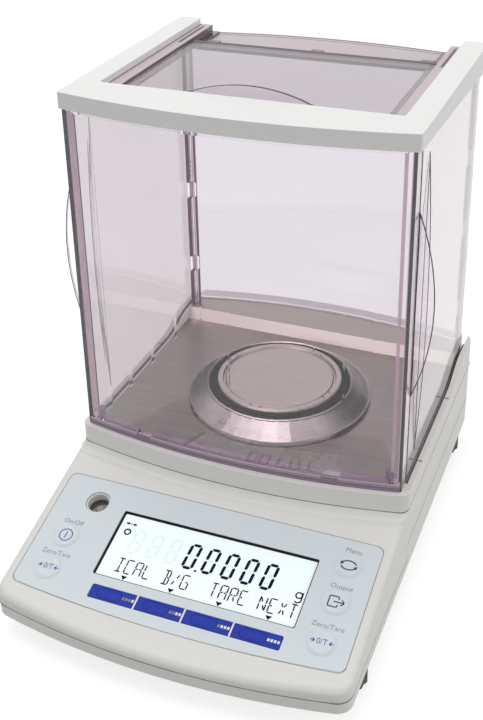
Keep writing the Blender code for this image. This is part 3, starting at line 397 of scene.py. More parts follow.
# The pan's steel gets painted shade on its sides and a painted highlight on faces that lean forward
dress(surfaced("panSteel", "brushed", {
    "Colour": (0.56, 0.485, 0.452, 1), "Gloss": 0.3, "Contrast": 0.45, "Streak": (9, 380, 300), "Side Shade": 0.75,
    "Forward Sheen": 0.25}, shader=steel), "weighing_pan")
dress(surfaced("screwSteel", "brushed", {"Colour": (0.56, 0.56, 0.55, 1)}, (0.1, 0.00004), steel), "pan_stem",
      *[f"base_screw_{i}" for i in (1, 2, 3, 4)])
dress(surfaced("cellAluminium", "brushed", {"Colour": (0.72, 0.73, 0.74, 1)}, (0.1, 0.00004), steel),
      "weighing_cell", "cell_chassis")
dress(plastic("circuitBoard", (0.02, 0.15, 0.06), 0.4, 0.4, 700.0), "main_board", "display_board")
dress(plastic("blackPlastic", (0.02, 0.02, 0.021), 0.5, 0.4), "display_module", "power_inlet",
      "data_connector", *[f"foot_{c}" for c in corners])
dress(plastic("blackRubber", (0.016, 0.016, 0.017), 0.75, 0.5), *[f"foot_pad_{c}" for c in corners])
print("materials ready")


# Pieces: every one is an array of points, joined by the quads of a grid

def addPiece(name, points, faces, material, slot, body="base", replaced=()):
    # An object at the origin from points and faces, which rides on a body
    mesh = bpy.data.meshes.new(name)
    mesh.from_pydata(np.asarray(points).reshape(-1, 3).tolist(), [], faces)
    mesh.materials.append(material)
    piece = bpy.data.objects.new(name, mesh)
    addObject(piece)
    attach(piece, body)
    if replaced:
        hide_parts(*replaced)


def gridFaces(rows, columns, closed=False):
    # Quads between neighbouring rows and columns, which run round; closed joins the last row to the first
    row, column = np.meshgrid(np.arange(rows if closed else rows - 1), np.arange(columns), indexing="ij")
    here, there = row * columns, (row + 1) % rows * columns
    beside = (column + 1) % columns
    quads = np.stack([here + column, here + beside, there + beside, there + column], -1)
    quads = quads.reshape(-1, 4).tolist()
    if not closed:
        quads += [list(range(columns))[::-1], list(range((rows - 1) * columns, rows * columns))]
    return quads


def carried(path, profile, closed=False):
    # A profile of (across, out) pairs carried along a flat path: each point is the path's point plus
    # across times the path's left-hand normal, at height out. The profile runs anticlockwise seen from ahead.
    path, profile = np.asarray(path, float), np.asarray(profile, float)
    if closed:
        step = np.roll(path, -1, 0) - np.roll(path, 1, 0)
    else:
        step = np.gradient(path, axis=0)
    step /= np.linalg.norm(step, axis=1, keepdims=True)
    normal = np.stack([-step[:, 1], step[:, 0]], 1)
    flat = path[:, None] + normal[:, None] * profile[None, :, :1]
    out = np.broadcast_to(profile[None, :, 1:], (*flat.shape[:2], 1))
    return np.concatenate([flat, out], -1), gridFaces(len(path), len(profile), closed)


def stacked(shapes):
    # Joins several (points, faces) into one
    points, faces, count = [], [], 0
    for somePoints, someFaces in shapes:
        somePoints = np.asarray(somePoints).reshape(-1, 3)
        faces += [[i + count for i in face] for face in someFaces]
        points.append(somePoints)
        count += len(somePoints)
    return np.concatenate(points), faces


def addParts(name, shapes, material, slot="tinted_clear_plastic", body="base"):
    # A piece that joins several shapes
    addPiece(name, *stacked(shapes), material, slot, body)


def addTint(name, tone, colour, alpha, shapes):
    # A see-through tint, with a material of its own, on the clear mouldings
    addParts(name, shapes, sheer(tone, colour, alpha))


def slab(outline, low, high):
    # A flat outline raised from low to high, turned anticlockwise first if it isn't
    x, y = np.asarray(outline, float).T
    if np.sum(x * np.roll(y, -1) - np.roll(x, -1) * y) < 0:
        x, y = x[::-1], y[::-1]
    return np.concatenate([np.c_[x, y, np.full(len(x), z)] for z in (low, high)]), gridFaces(2, len(x))


def arc(centre, radius, start, end, steps=24, squash=1.0):
    # Points on a circle from one angle to another, in degrees; squash flattens it
    angle = np.radians(np.linspace(start, end, steps))
    return np.stack([centre[0] + radius * np.cos(angle), centre[1] + squash * radius * np.sin(angle)], 1)


def ring(centre, radius, steps=48):
    return arc(centre, radius, 0, 360, steps + 1)[:-1]


def oblong(low, high, radius, steps=7):
    # A rectangle from its low to its high corner, with rounded corners, anticlockwise
    (x0, y0), (x1, y1) = low, high
    left, right, below, above = x0 + radius, x1 - radius, y0 + radius, y1 - radius
    centres = ((right, above), (left, above), (left, below), (right, below))
    return np.concatenate([arc(c, radius, 90 * k, 90 * k + 90, steps) for k, c in enumerate(centres)])


def rectangle(x0, x1, y0, y1):
    # The corners of a rectangle, anticlockwise
    return [(x0, y0), (x1, y0), (x1, y1), (x0, y1)]


def stroke(start, end, width):
    # A bar with pointed ends from start to end, six points
    start, end = np.array(start, float), np.array(end, float)
    along = (end - start) / np.linalg.norm(end - start) * width / 2
    side = np.array([-along[1], along[0]])
    near, far = start + along, end - along
    return np.array([start, near - side, far - side, end, far + side, near + side])


# Key panel: a plane that slopes down to the front, measured across, up the slope and out of the film
panel = {"place": (0, -0.09675, 0.04241), "slope": math.atan(0.27)}
rise, run = math.sin(panel["slope"]), math.cos(panel["slope"])
panelAxes = np.array([(1, 0, 0), (0, run, rise), (0, -rise, run)])


def onPanel(points):
    # Places in the frame of points measured on the panel in millimetres
    return np.asarray(points).reshape(-1, 3) / 1000 @ panelAxes + np.array(panel["place"])


def addPrint(name, shapes, material, slot="panel_film", body="base"):
    # A piece that joins several shapes measured on the panel
    points, faces = stacked(shapes)
    addPiece(name, onPanel(points), faces, material, slot, body)


# Display: a black well with the lit sheet at its bottom, and the dark marks of the crystals on it
display = {"left": -54.3, "right": 65.5, "low": -20.5, "high": 22.9, "depth": 1.15, "radius": 1.0,
           "rims": (1.05, 0.5, 0.25, 1.0), "parallax": (-0.45, 0.68)}
wellBlack = plastic("displayWell", (0.012, 0.008, 0.006), 0.35, 0.3)
lcdSheet = plastic("litSheet", (0.86, 0.975, 0.98), 0.28, 0.015, 3000.0, (0.02, 0.00001), glow=0.22)
lcdInk = plastic("crystalInk", (0.004, 0.005, 0.03), 0.6, 0.3, shader={"Specular IOR Level": 0.1})
lcdGhost = plastic("crystalGhost", (0.76, 0.90, 0.915), 0.35, 0.1, glow=0.2)
floorLevel = -display["depth"]
mouth = oblong((display["left"], display["low"]), (display["right"], display["high"]), display["radius"])
left, right, below, above = display["rims"]
sheet = oblong((display["left"] + left, display["low"] + below),
               (display["right"] - right, display["high"] - above), 0.6)
inner = mouth * 0.996 + 0.004 * mouth.mean(0)
wall = np.stack([np.c_[outline, np.full(len(mouth), height)] for outline, height in (
    (mouth, -0.02), (mouth, floorLevel - 0.03), (inner, floorLevel), (inner, -0.02))])
wallFaces = [face[::-1] for face in gridFaces(4, len(mouth), True)]
points, faces = stacked([(wall, wallFaces), slab(mouth, floorLevel - 0.03, floorLevel)])
addPiece("displayWell", onPanel(points), faces, wellBlack, "display_lens", replaced=("display_window",))
addPrint("displaySheet", [slab(sheet, floorLevel + 0.005, floorLevel + 0.02)], lcdSheet, "display_lens")
inkLow, inkHigh = floorLevel + 0.03, floorLevel + 0.05
shift = np.array(display["parallax"])

# Digits and words: each sign is a set of strokes, named by letters, on a cell from (0, 0) to (1, 1)
digits = {"left": -8.15, "low": -3.6, "width": 5.45, "height": 15.15, "pitch": 11.6, "stroke": 1.85,
          "break": 0.22, "lean": 1.1 / 17, "inset": 0.925, "dot": 9.4, "dotHeight": -3.3}
words = {"left": -43.5, "low": -16.0, "width": 3.9, "height": 8.7, "pitch": 5.74, "stroke": 0.82,
         "break": 0.12, "lean": 0.0, "inset": 0.0}
letters = {"I": "admn", "C": "afed", "A": "abcefgh", "L": "fed", "B": "abcdmnh", "/": "jk", "G": "afedch",
           "T": "amn", "R": "abefghl", "E": "afedg", "N": "febcil", "X": "ijkl", "0": "abcdef", "-": "o",
           "8": "abcdefo"}
strokes = {
    "a": ((0, 1), (1, 1)), "b": ((1, 1), (1, 0.5)), "c": ((1, 0.5), (1, 0)), "d": ((1, 0), (0, 0)),
    "e": ((0, 0), (0, 0.5)), "f": ((0, 0.5), (0, 1)), "g": ((0, 0.5), (0.5, 0.5)),
    "h": ((0.5, 0.5), (1, 0.5)), "i": ((0.12, 0.93), (0.42, 0.58)), "j": ((0.58, 0.58), (0.88, 0.93)),
    "k": ((0.12, 0.07), (0.42, 0.42)), "l": ((0.58, 0.42), (0.88, 0.07)), "m": ((0.5, 1), (0.5, 0.5)),
    "n": ((0.5, 0.5), (0.5, 0)), "o": ((0, 0.5), (1, 0.5)),
}


def sign(letter, style, cell):
    # The strokes of a sign in a numbered cell, shorter by the break at both ends and leaning with height
    bars = []
    for key in letters[letter]:
        start, end = (np.array(p) * (style["width"], style["height"]) for p in strokes[key])
        along = (end - start) / np.linalg.norm(end - start) * style["break"]
        bar = stroke(start + along, end - along, style["stroke"]) + style["inset"]
        bar[:, 0] += bar[:, 1] * style["lean"]
        bars.append(bar + (style["left"] + style["pitch"] * cell, style["low"]) + shift)
    return bars


point = np.array([digits["left"] + digits["dot"], digits["dotHeight"]]) + shift
dark, pale = [ring(point, 0.78, 16)], []
for k in range(5):
    dark += sign("0", digits, k)
    pale += sign("-", digits, k)
for k in (-3, -2, -1):
    pale += sign("8", digits, k)
    pale.append(ring((point[0] + digits["pitch"] * k, point[1]), 0.7, 12))
for cell, letter in zip((0, 1, 2, 3, 5, 6, 7, 10, 11, 12, 13, 15, 16, 17, 18), "ICALB/GTARENEXT"):
    dark += sign(letter, words, cell)

# Four pointers over the blue keys, the ring marker and the small zero mark between two arrows
for x in (-36.0, -7.2, 21.6, 50.4):
    dark.append(np.array([(x - 2.0, -17.7), (x, -20.3), (x + 2.0, -17.7)]) + shift)
for x, way in ((-50.2, 1), (-43.4, -1)):
    dark.append(np.array([(x, 15.1), (x + way, 15.1), (x + way, 14.3), (x + 2.6 * way, 15.5), (x + way, 16.7),
                          (x + way, 15.9), (x, 15.9)]) + shift)
marks = [slab(outline, inkLow, inkHigh) for outline in dark]
for centre, radius, width in (((-47.0, 9.9), 1.75, 1.0), ((-46.8, 15.5), 0.7, 0.3)):
    line = rectangle(-width / 2, width / 2, inkLow, inkHigh)
    marks.append(carried(ring(np.array(centre) + shift, radius)[::-1], line, True))
addPrint("displayMarks", marks, lcdInk, "display_lens")
ghosts = [slab(outline, inkLow, inkHigh - 0.01) for outline in pale]
addPrint("displayGhosts", ghosts, lcdGhost, "display_lens")


def addWords(name, text, size, centre, material, body="base", out=0.03, slot="panel_film", thin=0.012,
             squeeze=1.0):
    # Words as a thin raised mesh on the panel, centred on a place, in millimetres
    curve = bpy.data.curves.new(name, "FONT")
    curve.body = text
    curve.size = size
    curve.align_x = curve.align_y = "CENTER"
    curve.extrude = 0.01
    curve.offset = -thin
    curve.resolution_u = 3
    holder = bpy.data.objects.new(name + "Curve", curve)
    addObject(holder)
    mesh = bpy.data.meshes.new_from_object(holder.evaluated_get(bpy.context.evaluated_depsgraph_get()))
    bpy.data.objects.remove(holder)
    points = np.array([vertex.co for vertex in mesh.vertices]) * (squeeze, 1, 1) + (*centre, out + 0.01)
    faces = [list(polygon.vertices) for polygon in mesh.polygons]
    bpy.data.meshes.remove(mesh)
    addPiece(name, onPanel(points), faces, material, slot, body)


# Unit: a round bowl, a stem and a hook
unit = {"bowl": (62.0, -1.4), "radius": 1.75, "width": 0.85, "stem": 63.9, "top": 0.7, "hook": -4.3,
        "bend": 1.9}
line = rectangle(-unit["width"] / 2, unit["width"] / 2, inkLow, inkHigh)
bend = arc((unit["stem"] - unit["bend"], unit["hook"]), unit["bend"], 0, -140, 12, 0.85)
tail = np.concatenate([[(unit["stem"], unit["top"])], bend])
addPrint("displayUnit", [carried(ring(np.array(unit["bowl"]) + shift, unit["radius"], 24)[::-1], line, True),
                         carried(tail + shift, line)], lcdInk, "display_lens")
print("display ready")

# Film: its printed words, the raised rims round the keys and the white dividers of the blue keys
labelInk = plastic("labelInk", (0.27, 0.265, 0.255), 0.5, 0.1)
blueInk = plastic("blueInk", (0.03, 0.06, 0.36), 0.45, 0.1)
blackInk = plastic("blackInk", (0.02, 0.02, 0.022), 0.45, 0.3)
whiteInk = plastic("whiteInk", (0.82, 0.85, 0.86), 0.5, 0.1)
dimInk = plastic("dimInk", (0.25, 0.25, 0.2), 0.5, 0.2)
capOut = 0.22
capInk = (capOut, capOut + 0.03)


def inked(start, end, width):
    # A printed stroke on a cap
    return slab(stroke(start, end, width), *capInk)


def inkBand(width):
    # The flat profile of a printed line on a cap
    return rectangle(-width / 2, width / 2, *capInk)


label = {"size": 4.3, "right": 0.4, "up": 9.4, "rim": 7.35}
rimShape = [(0.4, 0.25), (0.1, 0.25), (-0.2, 0.2), (-0.45, 0.12), (-0.62, 0.01), (0.62, 0.205)]
rims = []
for (name, (x, y)), word in zip(keys.items(), ("On/Off", "Zero/Tare", "Menu", "Output", "Zero/Tare")):
    addWords(f"label_{name}", word, label["size"], (x + label["right"], y + label["up"]), labelInk)
    rims.append(carried(ring((x, y), label["rim"], 64)[::-1], rimShape, True))
addPrint("keyRims", rims, filmSkin)
for name in ("key_zero_tare_left", "key_zero_tare_right"):
    x, y = keys[name]
    addWords(f"zero_{name}", "0/T", 5.0, (x, y), blueInk, name, capOut, "key_film", 0.02, 0.86)
    arrows = []
    for way in (-1, 1):
        tip = x + way * 4.0
        arrows += [inked((tip + way * across, y + up), (tip, y), 0.55)
                   for across, up in ((2.6, 0), (1.4, -1.3), (1.4, 1.3))]
    addPrint(f"arrows_{name}", arrows, blueInk, "key_film", name)
x, y = keys["key_on_off"]
power = [carried(ring((x, y), 3.9)[::-1], inkBand(0.62), True),
         inked((x - 0.15, y - 2.4), (x + 0.15, y + 2.4), 0.62)]
addPrint("symbolOnOff", power, blueInk, "key_film", "key_on_off")
x, y = keys["key_menu"]
loops = []
for turn in (0, 180):
    bend = arc((x, y), 4.3, turn + 20, turn + 158, 24, 0.66)
    loops.append(carried(bend[::-1], inkBand(0.75)))
    tip = bend[-1]
    away = arc((0, 0), 1, turn + 235, turn + 235, 1, 0.9)[0]
    side = np.array([-away[1], away[0]]) * 1.25
    point = np.array([tip + away * 1.9, tip - side - away * 0.5, tip + side - away * 0.5])
    loops.append(slab(point, *capInk))
addPrint("symbolMenu", loops, blackInk, "key_film", "key_menu")
x, y = keys["key_output"]
box = [(x + across, y + up) for across, up in (
    (1.2, 1.4), (1.2, 3.2), (-4.0, 3.2), (-4.0, -3.2), (1.2, -3.2), (1.2, -1.4))]
lines = [inked(box[i], box[i + 1], 0.7) for i in range(5)]
lines.append(inked((x - 1.4, y), (x + 4.6, y), 0.7))
lines += [inked((x + 2.9, y + s * 1.8), (x + 4.7, y), 0.7) for s in (-1, 1)]
addPrint("symbolOutput", lines, blackInk, "key_film", "key_output")

bar = {"left": -51.1, "right": 62.3, "low": -35.1, "high": -27.0, "line": 0.5, "over": 0.3}
oval = {"start": 4.7, "width": 15.0, "half": 2.9, "radius": 2.85}
dots = {"start": 20.2, "pitch": 1.9, "width": 1.35, "half": 0.85, "radius": 0.2}
pitch = (bar["right"] - bar["left"]) / 4
middle = (bar["low"] + bar["high"]) / 2


def pill(left, size, steps=7):
    # A rounded outline on the middle line of the blue keys
    half = size["half"]
    return oblong((left, middle - half), (left + size["width"], middle + half), size["radius"], steps)


dividers = []
for k in range(1, 4):
    x = bar["left"] + pitch * k
    dividers.append(slab(rectangle(x - bar["line"], x + bar["line"], bar["low"] - bar["over"],
                                   bar["high"] + bar["over"]), -0.05, 0.26))
addPrint("keyDividers", dividers, whiteInk)
ovalRim = [(-0.3, 0.18), (0.3, 0.18), (0.22, 0.25), (0.0, 0.31), (-0.22, 0.25)]
ovalSkin = plastic("ovalSkin", (0.012, 0.028, 0.27), 0.5, 0.1, shader={"Specular IOR Level": 0.2})
for k, name in enumerate(blueKeys):
    left = bar["left"] + pitch * k
    path = pill(left + oval["start"], oval)[::-1]
    addPrint(f"oval_{name}", [carried(path, ovalRim, True)], ovalSkin, "blue_key_film", name)
    spots = [slab(pill(left + dots["start"] + dots["pitch"] * i, dots, 3), 0.21, 0.24) for i in range(4)]
    lit = k + 1
    addPrint(f"litDots_{name}", spots[4 - lit:], whiteInk, "blue_key_film", name)
    if lit < 4:
        addPrint(f"dimDots_{name}", spots[:4 - lit], dimInk, "blue_key_film", name)

# Outline of the film, a grey line of painted shade at its edge: straight sides, round corners and a foot that
# bows down as a parabola
film = {"half": 98.2, "high": 40.4, "low": -37.8, "bow": 5.0, "radius": 4.5}
share = np.linspace(-1, 1, 33)
radius = film["radius"]
half, low, high = film["half"] - radius, film["low"] + radius, film["high"] - radius
edge = [np.c_[share * half, film["low"] - film["bow"] * (1 - share ** 2)]]
edge += [arc(centre, radius, start, end, 8) for centre, start, end in (
    ((half, low), -80, 0), ((half, high), 0, 90), ((-half, high), 90, 180), ((-half, low), 180, 260))]
edge = carried(np.concatenate(edge)[::-1], rectangle(-0.16, 0.16, -0.02, 0.03), True)
addPrint("filmOutline", [edge], plastic("filmEdgeShade", (0.33, 0.33, 0.31), 0.5, 0.1))
print("key panel ready")

# Level: a bubble and a black circle on the vial; the bubble is dark, a painted shade deep in the well
level = {"centre": (-73.2, 24.2), "top": -6.0, "circle": 2.6, "bubble": 1.9}
bubbleShade = plastic("shadedLevelBubble", (0.12, 0.115, 0.09), 0.1, 0.1, shader={"Coat Weight": 0.5})
section = rectangle(-0.2, 0.2, level["top"], level["top"] + 0.05)
addPrint("levelCircle", [carried(ring(level["centre"], level["circle"])[::-1], section, True)], blackInk,
         "level_vial_plastic")
spot = ring((level["centre"][0] + 0.3, level["centre"][1] - 0.2), level["bubble"], 24)
addPrint("shadedLevelBubble", [slab(spot, level["top"], level["top"] + 0.04)], bubbleShade, "level_vial_plastic")

# Pan: dimples in pairs on its raised band, each a disc of painted shade with a glint of painted highlight
pan = {"centre": (0.0, 0.04175), "top": 0.0851, "band": 0.0372, "dimple": 0.0011, "skin": 0.00004}
low, between, high = (pan["top"] + k * pan["skin"] for k in range(3))
dimples, paintedHighlights = [], []
for angle in (158, 168, 262, 272, 62, 72, 338, 348):
    spot = arc(pan["centre"], pan["band"], angle, angle, 1)[0]
    dimples.append(slab(ring(spot, pan["dimple"], 20), low, between))
    paintedHighlights.append(slab(ring(spot + 0.0003, pan["dimple"] / 2, 16), between, high))
dimpleShade = surfaced("dimpleShadeSteel", "brushed", {"Colour": (0.16, 0.13, 0.125, 1)}, (0.1, 0.00002), steel)
addParts("panDimples", dimples, dimpleShade, "brushed_stainless", "pan")
highlightSteel = surfaced("highlightSteel", "brushed", {"Colour": (0.85, 0.8, 0.78, 1)}, shader=steel)
addParts("panHighlights", paintedHighlights, highlightSteel, "brushed_stainless", "pan")

# Doors: a black channel on each front edge, a felt in the rim under it, tinted corners, grey-brown ticks on
# the rim
sealBlack = plastic("sealBlack", (0.012, 0.01, 0.014), 0.45, 0.3)
tintStrip = sheer("tintStrip", (0.74, 0.54, 0.63), 0.6, 0.1, 0.3, 0.76)
tickTone = plastic("tickTone", (0.30, 0.26, 0.22), 0.6, 0.1)
deck = 0.072
seal = {"inner": 0.0970, "outer": 0.0995, "front": -0.02195, "lap": 0.0010, "tip": 0.0003, "wall": 0.0002,
        "gap": 0.00005, "low": deck + 0.001, "high": deck + 0.2035}
rim = {"start": 0.07975, "end": 0.11275, "rise": 0.0075, "inner": 0.10066, "door": 0.0998}
felt = {"start": -0.0215, "end": 0.1285, "low": -0.0018, "high": -0.0001, "steps": 61}
tick = {"inner": 0.1009, "outer": 0.1036, "fronts": (0.0005, 0.0705), "width": 0.0013, "low": deck - 0.0001,
        "high": deck + 0.00012}
cornerTints = ((0.0966, 0.0969, -0.0295, -0.0232, deck + 0.006, deck + 0.2045),
               (0.0925, 0.0945, -0.0293, -0.0291, deck + 0.012, deck + 0.2045))
sides = (("left", -1), ("right", 1))


def block(x0, x1, y0, y1, z0, z1):
    # A thin strip or plate between two values of x, y and z
    return slab(rectangle(*sorted((x0, x1)), y0, y1), z0, z1)


def mirrored(*rows):
    # Each row is a block, which stands on the left and on the right
    return [block(way * x0, way * x1, *rest) for x0, x1, *rest in rows for way in (-1, 1)]


# The seal is a channel with thin walls that wraps a door's front edge and is open to the rear
inner, outer, front, gap, wall = (seal[key] for key in ("inner", "outer", "front", "gap", "wall"))
back, tip = front + seal["lap"], front - seal["tip"]
sealPlan = np.array([(outer + wall, back), (outer + wall, tip), (inner - wall, tip), (inner - wall, back),
                     (inner - gap, back), (inner - gap, front - gap), (outer + gap, front - gap),
                     (outer + gap, back)])

# The felt follows the rim, which is level and climbs at the rear as a smooth step
along = np.linspace(felt["start"], felt["end"], felt["steps"])[:, None]
share = np.clip((along - rim["start"]) / (rim["end"] - rim["start"]), 0, 1)
rimHeight = deck + rim["rise"] * share ** 2 * (3 - 2 * share)
section = np.array(rectangle(rim["door"], rim["inner"], felt["low"], felt["high"]))
for name, way in sides:
    addParts(f"{name}DoorSeal", [slab(sealPlan * (way, 1), seal["low"], seal["high"])], sealBlack,
             "black_rubber", f"{name}_door")
    places = np.broadcast_arrays(way * section[:, 0], along, rimHeight + section[:, 1])
    faces = [face[::-way] for face in gridFaces(len(along), len(section))]
    addPiece(f"{name}ChannelFelt", np.stack(places, -1), faces, sealBlack, "black_rubber")
    strips = [block(way * x0, way * x1, *rest) for x0, x1, *rest in cornerTints]
    addParts(f"{name}CornerTint", strips, tintStrip)
    ticks = [block(way * tick["inner"], way * tick["outer"], y, y + tick["width"], tick["low"], tick["high"])
             for y in tick["fronts"]]
    addParts(f"{name}RimTicks", ticks, tickTone, "off_white_plastic")


def planPath(half, front, frontBow, rear, rearBow, radius):
    # A plan in the frame: the front and rear edges are parabolas, a depth plus a bow times one less the
    # square of x over the half width, joined to straight sides by quarter circles
    x = np.linspace(-half + radius, half - radius, 41)
    curve = 1 - (x / half) ** 2
    ahead = np.c_[x, -front - frontBow * curve]
    behind = np.c_[x, rear + rearBow * curve][::-1]
    side, low, high = half - radius, ahead[0, 1] + radius, behind[0, 1] - radius
    a, b, c, d = (arc(centre, radius, start, start + 90, 9) for centre, start in (
        ((side, low), -90), ((side, high), 0), ((-side, high), 90), ((-side, low), 180)))
    return np.concatenate([ahead, a[1:], b[:-1], behind, c[1:], d[:-1]]) + pan["centre"]


def seamLine(path, height, closed=True):
    # A dark band that fills the mouth of a joint at this height
    return carried(path, rectangle(-0.00005, 0.0002, height - 0.00005, height + 0.0004)[::-1], closed)


def trayPart(way, centre):
    # The tray's plan ahead of the step (way -1) or behind it (way 1), ordered by the angle about a centre
    points = trayPath[way * (trayPath[:, 1] - seam["step"]) > 0]
    order = np.argsort(np.arctan2(-way * points[:, 0], way * (points[:, 1] - centre)))
    ends = [[(end * way * seam["half"], seam["step"])] for end in (1, -1)]
    return np.concatenate([ends[0], points[order], ends[1]])


# Joints of the mouldings: dark bands that lie just inside the gaps
seamTone = plastic("seamTone", (0.16, 0.145, 0.12), 0.6, 0.1)
seam = {"half": 0.104, "collar": 0.0599, "trayFront": 0.022, "trayRear": 0.034, "step": -0.02725}
collarPath = planPath(seam["half"], 0.0752, 0.0118, 0.0995, 0.0125, 0.006)
trayPath = planPath(seam["half"], 0.184, 0.0115, 0.0995, 0.0125, 0.009)
lines = [seamLine(collarPath, seam["collar"]), seamLine(trayPart(-1, -0.06), seam["trayFront"], False),
         seamLine(trayPart(1, 0.0), seam["trayRear"], False)]
addParts("mouldingSeams", lines, seamTone, "dark_plastic")

# Front rail: purple bands on its top and front face, broken at the notches. The front bands go from pale at
# the top to dark at the foot: the purple tint with a painted highlight and painted shade of its rounded face
rail = {"half": 0.0925, "front": 0.0703, "depth": 0.0046, "bow": 0.0105, "span": 0.0995, "reach": 0.0985,
        "face": 0.0731, "skin": 0.00012, "under": 0.00535, "top": 0.0055, "notchLow": 0.0003,
        "notchHigh": 0.0048}
bands = {"railPale": ((0.62, 0.52, 0.62), 0.0043, 0.0052), "railPink": ((0.41, 0.30, 0.40), 0.0027, 0.0043),
         "railDeep": ((0.26, 0.18, 0.24), 0.0013, 0.0027), "railMiddle": ((0.36, 0.26, 0.37), 0.0003, 0.0013),
         "railFoot": ((0.07, 0.05, 0.07), 0.0, 0.0003)}
notchSpans = ((-0.064, -0.054), (0.054, 0.064))
faceSpans = ((-rail["reach"], -0.064), (-0.054, 0.054), (0.064, rail["reach"]))
topSpans = ((-rail["half"], -0.0642), (-0.0538, 0.054), (0.064, rail["half"]))


def railStrips(spans, front, across):
    # A profile carried along the front glazing's bow, a parabola, over each span of x and at a depth from the
    # pan's axis
    strips = []
    for start, end in spans:
        x = np.linspace(start, end, 25)
        y = pan["centre"][1] - front - rail["bow"] * (1 - (x / rail["span"]) ** 2)
        strips.append(carried(np.c_[x, y], across[::-1]))
    return strips


across = rectangle(0.0, rail["skin"], deck + rail["notchLow"], deck + rail["notchHigh"])
addTint("railNotches", "notchTone", (0.30, 0.21, 0.28), 0.88, railStrips(notchSpans, rail["face"], across))
for name, (colour, low, high) in bands.items():
    spans = ((-rail["reach"], rail["reach"]),) if name == "railFoot" else faceSpans
    across = rectangle(0.0, rail["skin"], deck + low, deck + high)
    addTint(name, name + "Tone", colour, 0.9, railStrips(spans, rail["face"], across))
half = rail["depth"] / 2
across = rectangle(-half, half, deck + rail["under"], deck + rail["top"])
addTint("railTint", "railTone", (0.40, 0.27, 0.38), 0.75, railStrips(topSpans, rail["front"] - half, across))


def turned(profile, centre, steps=24):
    # A profile of (radius, height over the deck) pairs turned about an upright axis: each point is the centre
    # plus the radius times the cosine and sine of the angle
    profile = np.asarray(profile, float) + (0, deck)
    angle = np.linspace(0, 2 * np.pi, steps, endpoint=False)
    flat = profile[:, None, :1] * np.stack([np.cos(angle), np.sin(angle)], -1)[None] + np.asarray(centre)
    high = np.broadcast_to(profile[:, None, 1:], (len(profile), steps, 1))
    return np.concatenate([flat, high], -1), gridFaces(len(profile), steps)


# Well round the pan: a black liner in the ring and a black plate under the pan, painted shade in the gap
wellShade = plastic("wellShade", (0.010, 0.009, 0.009), 0.9, 0.1, shader={"Specular IOR Level": 0.1})
liner = [(0.0448, 0.0095), (0.0448, 0.0006), (0.04515, 0.0006), (0.04515, 0.0095)]
addParts("ringShadeLiner", [turned(liner, pan["centre"], 96)], wellShade, "dark_plastic", "ring")
plate = [(0.012, 0.0), (0.0446, 0.0), (0.0446, 0.0001), (0.012, 0.0001)]
addParts("wellShadePlate", [turned(plate, pan["centre"], 96)], wellShade, "dark_plastic")

# Posts at the ends of the rail: a tinted shell and a black core
postShape = [(0.00248, 0.0054), (0.00248, 0.0102), (0.0021, 0.0110), (0.0013, 0.0114), (0.0004, 0.0115)]
post = {"x": 0.0915, "y": -0.02725, "core": 0.0005, "low": deck + 0.001, "high": deck + 0.0095}
posts = [(way * post["x"], post["y"]) for way in (-1, 1)]
addTint("postShells", "postTone", (0.42, 0.29, 0.40), 0.72, [turned(postShape, place) for place in posts])
cores = [slab(ring(place, post["core"], 16), post["low"], post["high"]) for place in posts]
addParts("postCores", cores, sealBlack, "dark_plastic")


def facingFront(path, width, y):
    # A line on an upright plane that faces the front: (x, z) pairs carried with a flat profile
    points, faces = carried(path, rectangle(-width / 2, width / 2, 0.0, 0.00012))
    x, z, out = np.moveaxis(points, -1, 0)
    return np.stack([x, y - out, z], -1), faces


def bulge(middle, half, depth, steps=41):
    # A circular segment on an upright line, as (out, height) pairs from its foot to its head
    radius = (half ** 2 + depth ** 2) / (2 * depth)
    swing = np.linspace(-1, 1, steps) * math.asin(half / radius)
    return np.c_[radius * np.cos(swing) - radius + depth, middle + radius * np.sin(swing)]


# Outlines: the dark rims of the doors' fins and ribs, and of the top door's edges and fin
lineTone = plastic("lineTone", (0.085, 0.055, 0.08), 0.4, 0.1)
paleLine = sheer("paleLine", (0.30, 0.20, 0.28), 0.8)
fin = {"skin": 0.09955, "base": 0.0999, "middle": 0.1145, "half": 0.0555, "depth": 0.0104, "front": -0.02196}
rib = {"middle": 0.1045, "half": 0.0925, "depth": 0.0032, "front": -0.00505}
for name, way in sides:
    shapes = []
    for part, width in ((fin, 0.0006), (rib, 0.0004)):
        curve = bulge(part["middle"], part["half"], part["depth"])
        path = np.c_[way * (fin["skin"] + curve[:, 0]), deck + curve[:, 1]]
        shapes.append(facingFront(path[::way], width, part["front"]))
    base = [(way * fin["base"], deck + fin["middle"] + end * fin["half"]) for end in (-way, way)]
    shapes.append(facingFront(base, 0.0006, fin["front"]))
    addParts(f"{name}DoorLines", shapes, lineTone, body=f"{name}_door")
lid = {"front": -0.00375, "low": deck + 0.2083, "high": deck + 0.21055, "half": 0.0786, "rear": 0.1002}
edges = [facingFront([(-lid["half"], z), (lid["half"], z)], 0.0006, lid["front"] - 0.0001)
         for z in (lid["low"] + 0.0003, lid["high"] - 0.0001)]
edges += [block(-lid["half"], lid["half"], lid["rear"] - 0.0034, lid["rear"], lid["high"],
                lid["high"] + 0.0001)]
addParts("topDoorLines", edges, lineTone, body="top_door")
curve = bulge(0, 0.0425, 0.0103)
path = np.c_[curve[:, 1], lid["high"] + curve[:, 0]][::-1]
addParts("topFinLine", [facingFront(path, 0.0005, lid["front"] + 0.0001)], paleLine, body="top_door")

